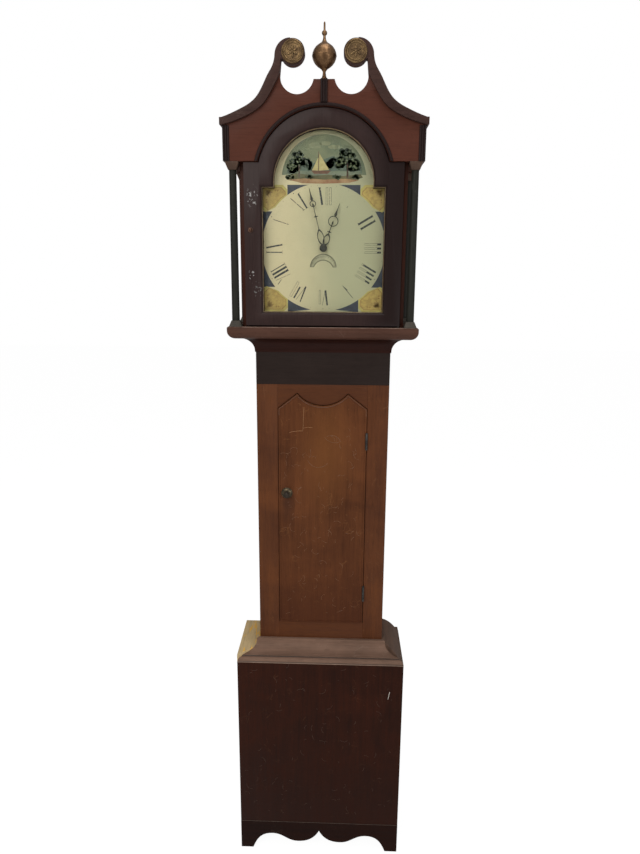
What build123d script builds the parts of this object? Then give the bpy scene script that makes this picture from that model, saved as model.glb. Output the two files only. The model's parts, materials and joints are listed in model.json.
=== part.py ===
from build123d import *
import os
from math import cos, radians, sin, sqrt

# Longcase clock: oak case, sliding hood with swan necks, painted break-arch dial, thirty-hour movement.
# Lengths are in millimetres. X runs to the right, the front faces -Y, and Z runs up from the floor.
# The origin is on the floor under the middle of the clock.

# Case: widths and depths
case_back = 116.2
trunk_width = 342.0
trunk_depth = 150.0
trunk_side_thickness = 14.0
trunk_frame_thickness = 18.0
backboard_thickness = 12.0
backboard_top = 1950.0
plinth_projection = 58.0
plinth_board_thickness = 16.0
moulding_stop = 10.0

# Case: heights above the floor
apron_height = 93.0
plinth_top = 613.0
plinth_moulding_height = 47.0
trunk_board_bottom = 560.0
throat_bottom = 1381.0
throat_moulding_bottom = 1464.0
throat_cove_radius = 35.0
throat_cove_lip = 2.0
cheek_top = 1604.0

# Bracket apron: the scalloped lower edge
foot_width = 35.0
apron_arch_x = 137.0
apron_arch_z = 51.0
apron_lobe_x = 61.0
apron_lobe_z = 26.0
apron_cusp_z = 64.0
side_foot_slope = 31.0

# Plinth moulding, as distances out from the trunk and up from the plinth
moulding_fillet_out = 9.0
moulding_fillet_height = 8.0
moulding_quirk = 2.5
moulding_ovolo_in = 9.0
moulding_ovolo_top = 13.0
moulding_cove_out = 44.0
moulding_cove_low = 16.0
bare_return_height = 23.5

# Trunk door
door_half_width = 114.8
door_bottom = 710.0
door_corner_z = 1318.0
door_peak_x = 65.5
door_peak_z = 1357.0
door_dip_z = 1326.0
door_gap = 1.2
door_proud = 2.0
door_bead_width = 4.0
door_bead_height = 1.5
door_thickness = 18.0
door_lip = 3.0
door_swing_relief = 4.5

# Trunk door hinges, knob and latch
hinge_heights = (777.0, 1210.0)
hinge_length = 45.0
hinge_barrel_radius = 3.0
hinge_leaf_thickness = 1.4
hinge_leaf_reach = 13.0
hinge_pin_radius = 1.0
hinge_joint_gap = 0.3
latch_inset = 21.3
latch_z = 1088.0
rose_radius = 15.0
rose_thickness = 2.5
knob_radius = 8.5
knob_neck_length = 7.0
latch_spindle_radius = 3.0
latch_tongue_length = 36.0
latch_tongue_width = 9.0
latch_tongue_thickness = 3.0
latch_tongue_gap = 2.5

# Hood
hood_overhang = 62.0
hood_slide_gap = 2.0
hood_base_height = 30.0
hood_nose_radius = 20.0
hood_nose_lip = 2.5
hood_side_clearance = 17.0
hood_side_thickness = 9.0
hood_back_inset = 7.0
hood_side_top = 1996.0
hood_roof_thickness = 10.0
frieze_bottom = 1909.0
frieze_inset = 1.0
hood_cheek_setback = 1.0
hood_cheek_thickness = 5.5
frieze_thickness = 14.0
frieze_side_thickness = 12.0
soffit_thickness = 10.0
cornice_bottom = 1985.0
cornice_top = 2001.0
cornice_side_projection = 5.0
swan_neck_projection = 9.0
arch_centre_z = 1868.0
frieze_arch_radius = 158.0
arch_bead_width = 7.0
arch_bead_height = 3.0
reed_width = 5.2
reed_round = 2.2
reed_share = 0.46
reed_count = 3
corner_reed_height = 3.0
keystone_reed_height = 6.0
rosette_x = 70.0
rosette_rise = 7.0
rosette_radius = 25.0
rosette_thickness = 4.0
rosette_petals = 6
scroll_x = 75.0
scroll_rise = 126.0
scroll_radius = 35.0
scroll_end_radius = 27.0
pierced_x = 61.0
pierced_drop = 39.0
pierced_radius = 38.0
neck_inner_x = 99.0
neck_edge = 8.0
sweep_shares = ((0.8362, 0.1190), (0.6638, 0.3175), (0.5388, 0.7063))
neck_shares = ((0.4784, 0.7477), (0.5991, 0.3784), (0.8060, 0.1261))
pediment_block_half = 23.7
pediment_block_drop = 7.0
finial_radius = 27.4
finial_height = 117.0
finial_back = 6.0

# Columns
column_offset = 41.0
column_inset = 15.0
column_back_inset = 22.0
column_radius = 9.5
column_top_radius = 8.5
column_base_height = 15.0
column_capital_height = 18.0
column_block_width = 30.0
column_abacus = 4.0

# Hood door, glass and mask
hood_door_clearance = 2.0
hood_door_lift = 4.0
hood_door_shoulder_gap = 2.0
hood_door_arch_gap = 3.0
hood_door_recess = 4.0
hood_door_thickness = 18.0
aperture_half = 145.0
aperture_bottom = 1566.0
aperture_shoulder = 1855.0
aperture_arch_radius = 118.0
aperture_arch_z = 1865.0
aperture_bevel = 4.0
glass_lap = 5.5
glass_fit = 0.5
glass_thickness = 2.0
glass_rebate = 8.0
mask_gap = 2.0
mask_thickness = 8.0
mask_sight = 1.5
pivot_pin_inset = 3.0
pivot_pin_setback = 6.0
pivot_pin_radius = 2.0
pivot_pin_grip = 12.0
pivot_pin_depth = 7.0
hood_knob_x = -171.0
hood_knob_z = 1757.0
hood_knob_radius = 4.0
hood_knob_neck = 8.0

# Dial
dial_centre_z = 1718.0
dial_half_width = 152.5
dial_bottom = 1560.0
dial_shoulder = 1866.0
dial_arch_radius = 124.0
dial_thickness = 2.0
dial_setback = 5.0
dial_foot_radius = 2.0
dial_foot_x = 44.0
dial_centre_hole = 6.0
mouth_outer_radius = 31.5
mouth_outer_z = 1672.5
mouth_inner_radius = 25.4
mouth_inner_z = 1664.6
mouth_floor_z = 1674.0
date_disc_radius = 39.0
date_disc_z = 1667.0
date_disc_gap = 0.8
date_disc_thickness = 1.0

# Movement cage
cage_half_width = 58.0
cage_front_gap = 36.0
cage_depth = 76.0
cage_plate_thickness = 4.0
cage_inside_height = 186.0
cage_post_x = 50.0
cage_post_inset = 8.0
cage_post_radius = 4.0
bar_half_width = 7.0
bar_thickness = 4.0
seatboard_thickness = 18.0
stud_radius = 2.0
stud_flange_radius = 5.0
running_gap = 0.05
end_gap = 0.1

# Wheels: teeth and modules
motion_module = 0.9
motion_teeth = 60
cannon_teeth = 20
report_teeth = 12
hour_teeth = 48
great_module = 0.9
great_teeth = 96
second_leaves = 8
second_module = 0.7
second_teeth = 90
escape_leaves = 6
escape_teeth = 30
escape_tip_radius = 22.0
escape_root_radius = 18.0
wheel_thickness = 2.5
thin_wheel_thickness = 1.8
arbor_radius = 2.0
great_arbor_radius = 3.0
pivot_radius = 1.2
anchor_distance = 31.0
anchor_thickness = 3.5

# Rope, sprockets and weights
rope_radius = 3.0
rope_gap = 0.3
sprocket_radius = 30.0
sprocket_flange_radius = 34.0
sprocket_flange = 1.8
pulley_z = 430.0
pulley_bore = 2.05
stirrup_thickness = 2.5
stirrup_gap = 1.2
weight_radius = 32.0
weight_height = 180.0
weight_hook_length = 18.0
slack_bight_z = 1560.0
ring_radius = 14.0
ring_wire_radius = 6.0

# Hands
hour_hand_angle = 20.5
minute_hand_angle = -14.2
hour_hand_length = 109.0
hour_ring_distance = 66.0
hour_ring_radius = 12.2
hour_cross_distance = 40.0
hour_loop_end = 36.5
minute_hand_length = 140.0
minute_ring_distance = 104.0
minute_ring_radius = 7.4
minute_cross_distance = 74.0
minute_loop_end = 46.0
hand_boss_radius = 9.0
hand_thickness = 1.1
hand_line = 1.7
hour_hand_standoff = 5.5
minute_hand_standoff = 10.0
cannon_pipe_radius = 3.2
hour_pipe_radius = 4.5

# Pendulum and its cock
pendulum_setback = 14.0
pendulum_rod_radius = 2.0
suspension_width = 6.0
suspension_thickness = 0.6
suspension_length = 24.0
suspension_pin_radius = 1.5
bob_drop = 998.0
bob_radius = 52.0
bob_thickness = 24.0
bob_edge = 5.0
rating_nut_radius = 7.0
rating_nut_height = 5.0
crutch_drop = 94.0

# Bell and hammer
bell_radius = 45.0
bell_height = 34.0
bell_wall = 2.5
bell_lift = 20.0
bell_flat_radius = 8.0
bell_stand_radius = 4.0
bell_screw_radius = 2.5
hammer_arbor_z = 1800.0
hammer_head_radius = 5.0
hammer_head_length = 16.0
hammer_gap = 1.6
strike_pin_circle = 36.0
strike_pins = 13

# Planes and edges that several pieces share
trunk_half = trunk_width / 2
trunk_front = case_back - trunk_depth
backboard_front = case_back - backboard_thickness
frame_back = trunk_front + trunk_frame_thickness
plinth_half = trunk_half + plinth_projection
plinth_front = trunk_front - plinth_projection
moulding_end = backboard_front - moulding_stop
trunk_base = plinth_top + plinth_moulding_height
hood_seat = throat_moulding_bottom + throat_cove_lip + throat_cove_radius
hood_floor = hood_seat + hood_base_height
hood_half = trunk_half + hood_overhang
hood_front = trunk_front - hood_overhang
hood_back = case_back - hood_back_inset
frieze_half = hood_half - frieze_inset
frieze_front = hood_front + frieze_inset
frieze_back = frieze_front + frieze_thickness
hood_side_inner = trunk_half + hood_side_clearance
hood_side_outer = hood_side_inner + hood_side_thickness
hood_door_half = hood_side_inner - hood_door_clearance
pivot_pin_x = hood_door_half - pivot_pin_inset
column_x = trunk_half + column_offset
hood_cheek_reach = column_x + column_block_width / 2 - hood_cheek_setback
hood_door_front = frieze_front + hood_door_recess
hood_door_back = hood_door_front + hood_door_thickness
mask_front = hood_door_back + mask_gap
mask_back = mask_front + mask_thickness
dial_front = mask_back + dial_setback
dial_back = dial_front + dial_thickness
glass_front = hood_door_back - glass_rebate
column_y = hood_front + column_inset
rear_column_y = hood_back - column_back_inset
column_top = frieze_bottom - column_capital_height
swan_neck_front = frieze_front - swan_neck_projection
rosette_front = swan_neck_front - rosette_thickness
keystone_front = frieze_front - keystone_reed_height
finial_y = frieze_front + finial_back
hood_door_bottom = hood_floor + hood_door_lift
hood_door_shoulder = frieze_bottom - hood_door_shoulder_gap
hood_door_arch_radius = frieze_arch_radius - hood_door_arch_gap
pivot_pin_y = hood_door_front + pivot_pin_setback

# Movement planes
cage_front = dial_back + cage_front_gap
cage_back = cage_front + cage_depth
cage_floor = cheek_top + seatboard_thickness
cage_inside_floor = cage_floor + cage_plate_thickness
cage_ceiling = cage_inside_floor + cage_inside_height
cage_top = cage_ceiling + cage_plate_thickness
front_bar_back = cage_front + bar_thickness
middle_bar_front = cage_front + 37.0
middle_bar_back = middle_bar_front + bar_thickness
back_bar_front = cage_back - bar_thickness
post_front_y = cage_front + cage_post_inset
post_back_y = cage_back - 8.0

# Arbors, one above the other on the clock's middle line
motion_distance = motion_module * (motion_teeth + cannon_teeth) / 2
hour_module = 2 * motion_distance / (report_teeth + hour_teeth)
great_z = dial_centre_z - motion_distance
second_z = great_z + great_module * (great_teeth + second_leaves) / 2
escape_z = second_z + second_module * (second_teeth + escape_leaves) / 2
anchor_z = escape_z + anchor_distance
going_rope_y = cage_front + 21.0
strike_rope_y = back_bar_front - 15.0
rope_span = strike_rope_y - going_rope_y
weight_y = (going_rope_y + strike_rope_y) / 2
pulley_radius = rope_span / 2
pendulum_y = cage_back + pendulum_setback

os.makedirs("parts", exist_ok=True)


def keep(piece, name):
    """Label a finished piece and write it to its own file."""
    piece.part.label = name
    export_step(piece.part, f"parts/{name}.step")


def keep_group(pieces, name):
    """Write several finished pieces to one file, each still a solid of its own."""
    group = Compound([solid for piece in pieces for solid in piece.part.solids()])
    group.label = name
    export_step(group, f"parts/{name}.step")


def front_plane(y, x=0.0, z=0.0, clockwise=0.0):
    """A plane that faces the front: local x to the right and local y up, turned clockwise if asked."""
    turn = radians(clockwise)
    return Plane(origin=(x, y, z), x_dir=(cos(turn), 0, -sin(turn)), z_dir=(0, -1, 0))


def block(x_low, x_high, y_low, y_high, z_low, z_high, mode=Mode.ADD):
    """A box between two opposite corners."""
    middle = ((x_low + x_high) / 2, (y_low + y_high) / 2, (z_low + z_high) / 2)
    with Locations(middle):
        Box(x_high - x_low, y_high - y_low, z_high - z_low, mode=mode)


def rod(x, z, y_front, y_back, radius, mode=Mode.ADD):
    """A round bar that runs from front to back."""
    with Locations((x, (y_front + y_back) / 2, z)):
        Cylinder(radius, y_back - y_front, rotation=(90, 0, 0), mode=mode)


def post(x, y, z_low, z_high, radius, mode=Mode.ADD):
    """A round bar that stands upright."""
    with Locations((x, y, (z_low + z_high) / 2)):
        Cylinder(radius, z_high - z_low, mode=mode)


def crossbar(x_low, x_high, y, z, radius, mode=Mode.ADD):
    """A round bar that runs from left to right."""
    with Locations(((x_low + x_high) / 2, y, z)):
        Cylinder(radius, x_high - x_low, rotation=(0, 90, 0), mode=mode)


def mitre_prism(out_start, out_end, z_low, z_high, on_front, side):
    """Cut the half of a corner that belongs to the other moulding: on_front cuts the side's half."""
    inner_x = side * (trunk_half + out_start)
    outer_x = side * (trunk_half + out_end)
    inner_y = trunk_front - out_start
    outer_y = trunk_front - out_end
    spare = (outer_x, inner_y) if on_front else (inner_x, outer_y)
    with BuildSketch(Plane.XY.offset(z_low)) as corner:
        with BuildLine():
            Polyline((inner_x, inner_y), (outer_x, outer_y), spare, close=True)
        make_face()
    extrude(corner.sketch, amount=z_high - z_low, mode=Mode.SUBTRACT)


def side_plane(side):
    """A plane across the side mouldings: local x runs out from the trunk and local y runs up."""
    return Plane(origin=(side * trunk_half, 0, 0), x_dir=(side, 0, 0), z_dir=(0, -side, 0))


def run_front(profile, half_length):
    """Extrude an outline of (out, up) along the front of the trunk."""
    across = Plane(origin=(0, trunk_front, 0), x_dir=(0, -1, 0), z_dir=(-1, 0, 0))
    extrude(across * profile, amount=half_length, both=True)


# Case

with BuildPart() as backboard:
    block(-plinth_half, plinth_half, backboard_front, case_back, apron_height, plinth_top)
    block(-trunk_half, trunk_half, backboard_front, case_back, plinth_top, backboard_top)
keep(backboard, "backboard")

plinth_inner = plinth_half - plinth_board_thickness
plinth_board_back = plinth_front + plinth_board_thickness

with BuildPart() as plinth_front_board:
    block(-plinth_half, plinth_half, plinth_front, plinth_board_back, apron_height, plinth_top)
keep(plinth_front_board, "plinth_front_board")

with BuildPart() as plinth_side_boards:
    block(plinth_inner, plinth_half, plinth_board_back, backboard_front, apron_height, plinth_top)
    mirror(about=Plane.YZ)
keep(plinth_side_boards, "plinth_side_boards")


with BuildPart() as apron_front:
    with BuildSketch(front_plane(plinth_board_back)) as apron_face:
        with BuildLine() as apron_line:
            Line((-plinth_half, apron_height), (plinth_half, apron_height))
            foot_inner = plinth_half - foot_width
            for side in (1, -1):
                arch = (side * apron_arch_x, apron_arch_z)
                lobe = (side * apron_lobe_x, apron_lobe_z)
                Polyline((side * plinth_half, apron_height), (side * plinth_half, 0), (side * foot_inner, 0))
                Spline((side * foot_inner, 0), arch, tangents=[(-0.4 * side, 1), (-side, 0)])
                Spline(arch, lobe, tangents=[(-side, 0), (-side, 0)])
                Spline(lobe, (0, apron_cusp_z), tangents=[(-side, 0), (-0.5 * side, 1)])
        make_face()
    extrude(amount=plinth_board_thickness)

with BuildPart() as apron_sides:
    with BuildSketch(Plane.YZ.offset(plinth_inner)) as apron_side_face:
        with BuildLine():
            front_foot = plinth_front + foot_width
            back_foot = case_back - foot_width
            arch_front = (front_foot + side_foot_slope, apron_arch_z)
            arch_back = (back_foot - side_foot_slope, apron_arch_z)
            Polyline((front_foot, 0), (plinth_board_back, 0), (plinth_board_back, apron_height),
                     (case_back, apron_height), (case_back, 0), (back_foot, 0))
            Spline((back_foot, 0), arch_back, tangents=[(-0.4, 1), (-1, 0)])
            Line(arch_back, arch_front)
            Spline(arch_front, (front_foot, 0), tangents=[(-1, 0), (-0.4, -1)])
        make_face()
    extrude(amount=plinth_board_thickness)
    mirror(about=Plane.YZ)
keep_group([apron_front, apron_sides], "bracket_apron")

# Plinth mouldings: a cove over an ovolo on the front, a rounded return on the right, bare wood on the left
moulding_low = plinth_top
moulding_high = trunk_base
quirk_out = plinth_projection - moulding_quirk / 2
ovolo_out = plinth_projection - moulding_ovolo_in
fillet_low = moulding_high - moulding_fillet_height

with BuildSketch() as front_profile:
    with BuildLine():
        Polyline((ovolo_out, moulding_low + moulding_ovolo_top),
                 (moulding_cove_out, moulding_low + moulding_ovolo_top),
                 (moulding_cove_out, moulding_low + moulding_cove_low))
        Spline((moulding_cove_out, moulding_low + moulding_cove_low),
               (moulding_fillet_out, fillet_low), tangents=[(-1, 0.05), (-0.05, 1)])
        Polyline((moulding_fillet_out, fillet_low), (moulding_fillet_out, moulding_high), (0, moulding_high),
                 (0, moulding_low), (plinth_projection, moulding_low),
                 (plinth_projection, moulding_low + moulding_quirk), (quirk_out, moulding_low + moulding_quirk))
        Spline((quirk_out, moulding_low + moulding_quirk), (ovolo_out, moulding_low + moulding_ovolo_top),
               tangents=[(0, 1), (-1, 0.1)])
    make_face()

with BuildPart() as plinth_moulding_front:
    run_front(front_profile.sketch, plinth_half)
    for side in (1, -1):
        mitre_prism(0, plinth_projection, moulding_low, moulding_high, True, side)
keep(plinth_moulding_front, "plinth_moulding_front")

with BuildSketch() as right_profile:
    with BuildLine():
        Polyline((moulding_fillet_out, fillet_low), (moulding_fillet_out, moulding_high), (0, moulding_high),
                 (0, moulding_low), (plinth_projection, moulding_low),
                 (plinth_projection, moulding_low + moulding_quirk), (quirk_out, moulding_low + moulding_quirk))
        Spline((quirk_out, moulding_low + moulding_quirk), (moulding_cove_out, moulding_low + moulding_cove_low),
               (moulding_fillet_out, fillet_low), tangents=[(-0.6, 0.5), (-1, 0.25)])
    make_face()

with BuildPart() as plinth_moulding_right:
    extrude(side_plane(1) * right_profile.sketch, amount=-plinth_front, both=False)
    extrude(side_plane(1) * right_profile.sketch, amount=-moulding_end)
    mitre_prism(0, plinth_projection, moulding_low, moulding_high, False, 1)
keep(plinth_moulding_right, "plinth_moulding_right")

with BuildPart() as plinth_moulding_left:
    block(-plinth_half, -trunk_half, plinth_front, moulding_end, moulding_low, moulding_low + bare_return_height)
    mitre_prism(0, plinth_projection, moulding_low, moulding_high, False, -1)
keep(plinth_moulding_left, "plinth_moulding_left")

with BuildPart() as trunk_side_boards:
    block(trunk_half - trunk_side_thickness, trunk_half, frame_back, backboard_front,
          trunk_board_bottom, cheek_top)
    mirror(about=Plane.YZ)
keep(trunk_side_boards, "trunk_side_boards")

latch_x = latch_inset - door_half_width
opening_half = door_half_width + door_gap
opening_bottom = door_bottom - door_gap


def door_face(grow):
    """The trunk door's outline, grown evenly all round."""
    with BuildSketch() as outline:
        with BuildLine():
            Polyline((-door_peak_x, door_peak_z), (-door_half_width, door_corner_z),
                     (-door_half_width, door_bottom), (door_half_width, door_bottom),
                     (door_half_width, door_corner_z), (door_peak_x, door_peak_z))
            ThreePointArc((door_peak_x, door_peak_z), (0, door_dip_z), (-door_peak_x, door_peak_z))
        make_face()
        if grow:
            offset(amount=grow, kind=Kind.INTERSECTION, mode=Mode.REPLACE)
    return outline.sketch


hinge_x = door_half_width + door_gap / 2
hinge_y = trunk_front - hinge_barrel_radius - 0.2
leaf_back = trunk_front + hinge_leaf_reach
leaf_front = hinge_y + hinge_barrel_radius + hinge_joint_gap

with BuildPart() as trunk_stiles:
    block(opening_half, trunk_half, trunk_front, frame_back, trunk_board_bottom, throat_bottom)
    mirror(about=Plane.YZ)
    for low in hinge_heights:
        block(opening_half, opening_half + hinge_leaf_thickness, trunk_front, leaf_back,
              low, low + hinge_length, Mode.SUBTRACT)
keep(trunk_stiles, "trunk_stiles")

with BuildPart() as trunk_rails:
    block(-opening_half, opening_half, trunk_front, frame_back, door_corner_z, throat_bottom)
    block(-opening_half, opening_half, trunk_front, frame_back, trunk_board_bottom, opening_bottom)
    extrude(front_plane(frame_back) * door_face(door_gap), amount=trunk_frame_thickness, mode=Mode.SUBTRACT)
keep(trunk_rails, "trunk_rails")

with BuildPart() as throat_board:
    block(-trunk_half, trunk_half, trunk_front, frame_back, throat_bottom, hood_seat)
keep(throat_board, "throat_board")

throat_out = throat_cove_lip + throat_cove_radius
cove_start_z = throat_moulding_bottom + throat_cove_lip
cove_middle = throat_cove_radius * (1 - sqrt(0.5))

with BuildSketch() as throat_profile:
    with BuildLine():
        Polyline((throat_out, hood_seat), (0, hood_seat), (0, throat_moulding_bottom),
                 (throat_cove_lip, throat_moulding_bottom), (throat_cove_lip, cove_start_z))
        ThreePointArc((throat_cove_lip, cove_start_z),
                      (throat_cove_lip + cove_middle, hood_seat - cove_middle),
                      (throat_out, hood_seat))
    make_face()

with BuildPart() as throat_moulding:
    run_front(throat_profile.sketch, trunk_half + throat_out)
    for side in (1, -1):
        mitre_prism(0, throat_out, throat_moulding_bottom, hood_seat, True, side)

with BuildPart() as throat_return:
    extrude(side_plane(1) * throat_profile.sketch, amount=throat_out - trunk_front)
    extrude(side_plane(1) * throat_profile.sketch, amount=-backboard_front)
    mitre_prism(0, throat_out, throat_moulding_bottom, hood_seat, False, 1)
    mirror(about=Plane.YZ)

keep_group([throat_moulding, throat_return], "throat_moulding")

# Trunk door with its hinges, rose, knob and latch
door_front = trunk_front - door_proud
door_back = door_front + door_thickness
barrel_length = hinge_length / 3

# Behind its lip, the door's top edge is cut lower, so that it clears the rail as it swings out
door_top_strip = door_face(0) - Pos(0, -door_swing_relief, 0) * door_face(0)

with BuildPart() as trunk_door_panel:
    extrude(front_plane(door_back) * door_face(0), amount=door_thickness)
    extrude(front_plane(door_back) * door_top_strip, amount=door_thickness - door_lip, mode=Mode.SUBTRACT)
    with BuildSketch(front_plane(door_front)) as bead:
        add(door_face(0))
        add(door_face(-door_bead_width), mode=Mode.SUBTRACT)
    extrude(amount=door_bead_height)
    for low in hinge_heights:
        block(door_half_width - hinge_leaf_thickness, opening_half, hinge_y, leaf_back,
              low, low + hinge_length, Mode.SUBTRACT)
        block(hinge_x - hinge_barrel_radius - hinge_joint_gap, opening_half,
              door_front - door_bead_height, leaf_front, low, low + hinge_length, Mode.SUBTRACT)
    rod(latch_x, latch_z, door_front - door_bead_height, door_back, latch_spindle_radius + running_gap,
        Mode.SUBTRACT)
keep(trunk_door_panel, "trunk_door_panel")


def hinge_leaf(low, leaf_low_x, barrel_spans):
    """One hinge leaf: its plate, its barrels and the webs between them."""
    leaf_high_x = leaf_low_x + hinge_leaf_thickness
    block(leaf_low_x, leaf_high_x, leaf_front, leaf_back, low, low + hinge_length)
    for start, end in barrel_spans:
        block(leaf_low_x, leaf_high_x, hinge_y, leaf_front, low + start, low + end)
        post(hinge_x, hinge_y, low + start, low + end, hinge_barrel_radius)


outer_spans = ((0, barrel_length - hinge_joint_gap), (2 * barrel_length + hinge_joint_gap, hinge_length))

with BuildPart() as frame_leaves:
    for low in hinge_heights:
        hinge_leaf(low, opening_half, outer_spans)
        post(hinge_x, hinge_y, low, low + hinge_length, hinge_pin_radius + running_gap, Mode.SUBTRACT)
keep(frame_leaves, "trunk_hinge_frame_leaves")

with BuildPart() as door_leaves:
    for low in hinge_heights:
        hinge_leaf(low, door_half_width - hinge_leaf_thickness, ((barrel_length, 2 * barrel_length),))
        post(hinge_x, hinge_y, low, low + hinge_length, hinge_pin_radius)
keep(door_leaves, "trunk_hinge_door_leaves")

rose_front = door_front - rose_thickness

with BuildPart() as knob_backplate:
    rod(latch_x, latch_z, rose_front, door_front, rose_radius)
    fillet(knob_backplate.edges().filter_by(GeomType.CIRCLE).group_by(Axis.Y)[0], rose_thickness * 0.4)
    rod(latch_x, latch_z, rose_front - 1.2, rose_front, rose_radius * 0.62)
    rod(latch_x, latch_z, rose_front - 1.2, door_front, latch_spindle_radius + running_gap, Mode.SUBTRACT)
keep(knob_backplate, "knob_backplate")

knob_centre_y = rose_front - knob_neck_length - knob_radius * 0.7
tongue_front = door_back + latch_tongue_gap
tongue_back = tongue_front + latch_tongue_thickness

with BuildPart() as trunk_door_knob:
    rod(latch_x, latch_z, knob_centre_y, tongue_front, latch_spindle_radius)
    with Locations((latch_x, knob_centre_y, latch_z)):
        Sphere(knob_radius)
    rod(latch_x, latch_z, knob_centre_y + knob_radius, rose_front - 1.2 - end_gap, latch_spindle_radius * 1.7)
    rod(latch_x, latch_z, door_back + end_gap, tongue_front, latch_spindle_radius * 1.6)
keep(trunk_door_knob, "trunk_door_knob")

with BuildPart() as latch_tongue:
    rod(latch_x, latch_z, tongue_front, tongue_back, latch_tongue_width * 0.7)
    block(latch_x - latch_tongue_width / 2, latch_x + latch_tongue_width / 2, tongue_front, tongue_back,
          latch_z - latch_tongue_length, latch_z)
    fillet(latch_tongue.edges().filter_by(Axis.Y).group_by(Axis.Z)[0], latch_tongue_width * 0.4)
keep(latch_tongue, "latch_tongue")

# Hood

nose_out = hood_overhang
nose_top = hood_floor - hood_nose_lip
nose_low = hood_seat + hood_nose_radius
nose_middle = hood_nose_radius * sqrt(0.5)

with BuildSketch() as base_profile:
    with BuildLine():
        Polyline((nose_out - hood_nose_radius, hood_seat), (hood_slide_gap, hood_seat),
                 (hood_slide_gap, hood_floor), (nose_out - hood_nose_lip, hood_floor),
                 (nose_out, nose_top), (nose_out, nose_low))
        ThreePointArc((nose_out, nose_low),
                      (nose_out - hood_nose_radius + nose_middle, nose_low - nose_middle),
                      (nose_out - hood_nose_radius, hood_seat))
    make_face()

with BuildPart() as base_front:
    run_front(base_profile.sketch, hood_half)
    for side in (1, -1):
        mitre_prism(0, hood_overhang, hood_seat, hood_floor, True, side)
    post(pivot_pin_x, pivot_pin_y, hood_floor - pivot_pin_depth - 1, hood_floor,
         pivot_pin_radius + running_gap, Mode.SUBTRACT)

with BuildPart() as base_return:
    extrude(side_plane(1) * base_profile.sketch, amount=-hood_front)
    extrude(side_plane(1) * base_profile.sketch, amount=-hood_back)
    mitre_prism(0, hood_overhang, hood_seat, hood_floor, False, 1)
    mirror(about=Plane.YZ)

keep_group([base_front, base_return], "hood_base_moulding")

with BuildPart() as hood_side_boards:
    block(hood_side_inner, hood_side_outer, mask_front, hood_back, hood_floor, hood_side_top)
    block(hood_side_outer, hood_cheek_reach, hood_back - hood_cheek_thickness, hood_back, hood_floor,
          frieze_bottom)
    mirror(about=Plane.YZ)
keep(hood_side_boards, "hood_side_boards")


def break_arch(half_width, low, shoulder, arch_radius, arch_z):
    """A rectangle with a round arch on top, as a face with x to the right and y up."""
    with BuildSketch() as shape:
        with Locations((0, (low + shoulder) / 2)):
            Rectangle(2 * half_width, shoulder - low)
        with Locations((0, arch_z)):
            Circle(arch_radius)
        with Locations((0, (low + shoulder) / 2)):
            Rectangle(4 * half_width, shoulder - low, mode=Mode.SUBTRACT)
            Rectangle(2 * half_width, shoulder - low)
    return shape.sketch


def aperture(grow):
    """The opening over the dial, grown evenly all round."""
    return break_arch(aperture_half + grow, aperture_bottom - grow, aperture_shoulder + grow,
                      aperture_arch_radius + grow, aperture_arch_z)


with BuildPart() as hood_mask:
    mask_shape = break_arch(hood_side_inner, hood_floor, hood_side_top, frieze_arch_radius, arch_centre_z)
    extrude(front_plane(mask_back) * mask_shape, amount=mask_thickness)
    extrude(front_plane(mask_back) * aperture(-mask_sight), amount=mask_thickness, mode=Mode.SUBTRACT)
keep(hood_mask, "hood_mask")


scroll_z = cornice_top + scroll_rise
rosette_z = scroll_z + rosette_rise
pierced_z = scroll_z - pierced_drop
pediment_block_top = pierced_z - pediment_block_drop
neck_low_z = pierced_z + neck_edge
neck_low_rise = neck_low_z - cornice_bottom
sweep_points = [(frieze_half * across, cornice_top + scroll_rise * up) for across, up in sweep_shares]
neck_points = [(frieze_half * across, cornice_bottom + neck_low_rise * up) for across, up in neck_shares]

with BuildSketch() as pediment:
    with BuildLine():
        sweep_end = (scroll_x + scroll_radius, scroll_z)
        scroll_45 = scroll_radius * sqrt(0.5)
        scroll_top = (scroll_x, scroll_z + scroll_radius)
        scroll_under = scroll_z - 7
        Polyline((0, frieze_bottom), (frieze_half, frieze_bottom), (frieze_half, cornice_top))
        Spline((frieze_half, cornice_top), *sweep_points, sweep_end,
               tangents=[(-1, 0.3), (-0.1, 1)])
        ThreePointArc(sweep_end, (scroll_x + scroll_45, scroll_z + scroll_45), scroll_top)
        Polyline(scroll_top, (scroll_x, scroll_under), (neck_inner_x - 3, scroll_under),
                 (neck_inner_x, pierced_z))
        ThreePointArc((neck_inner_x, pierced_z), (pierced_x, pierced_z - pierced_radius),
                      (pediment_block_half, pediment_block_top))
        Polyline((pediment_block_half, pediment_block_top), (0, pediment_block_top), (0, frieze_bottom))
    make_face()
    with Locations((rosette_x, rosette_z)):
        Circle(scroll_end_radius)
    mirror(about=Plane.YZ)
    with Locations((0, arch_centre_z)):
        Circle(frieze_arch_radius, mode=Mode.SUBTRACT)

with BuildPart() as hood_frieze:
    extrude(front_plane(frieze_back) * pediment.sketch, amount=frieze_thickness)
    post(pivot_pin_x, pivot_pin_y, frieze_bottom, frieze_bottom + pivot_pin_depth,
         pivot_pin_radius + running_gap, Mode.SUBTRACT)
keep(hood_frieze, "hood_frieze")

side_board_inner = frieze_half - frieze_side_thickness

with BuildPart() as frieze_side_boards:
    block(side_board_inner, frieze_half, frieze_back, hood_back, frieze_bottom, cornice_top)
    block(frieze_half, frieze_half + cornice_side_projection, frieze_front, hood_back,
          cornice_bottom, cornice_top)
    block(hood_side_outer, side_board_inner, mask_front, hood_back, frieze_bottom,
          frieze_bottom + soffit_thickness)
    block(hood_side_inner, side_board_inner, frieze_back, mask_front, frieze_bottom,
          frieze_bottom + soffit_thickness)
    mirror(about=Plane.YZ)
keep(frieze_side_boards, "frieze_side_boards")


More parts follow.
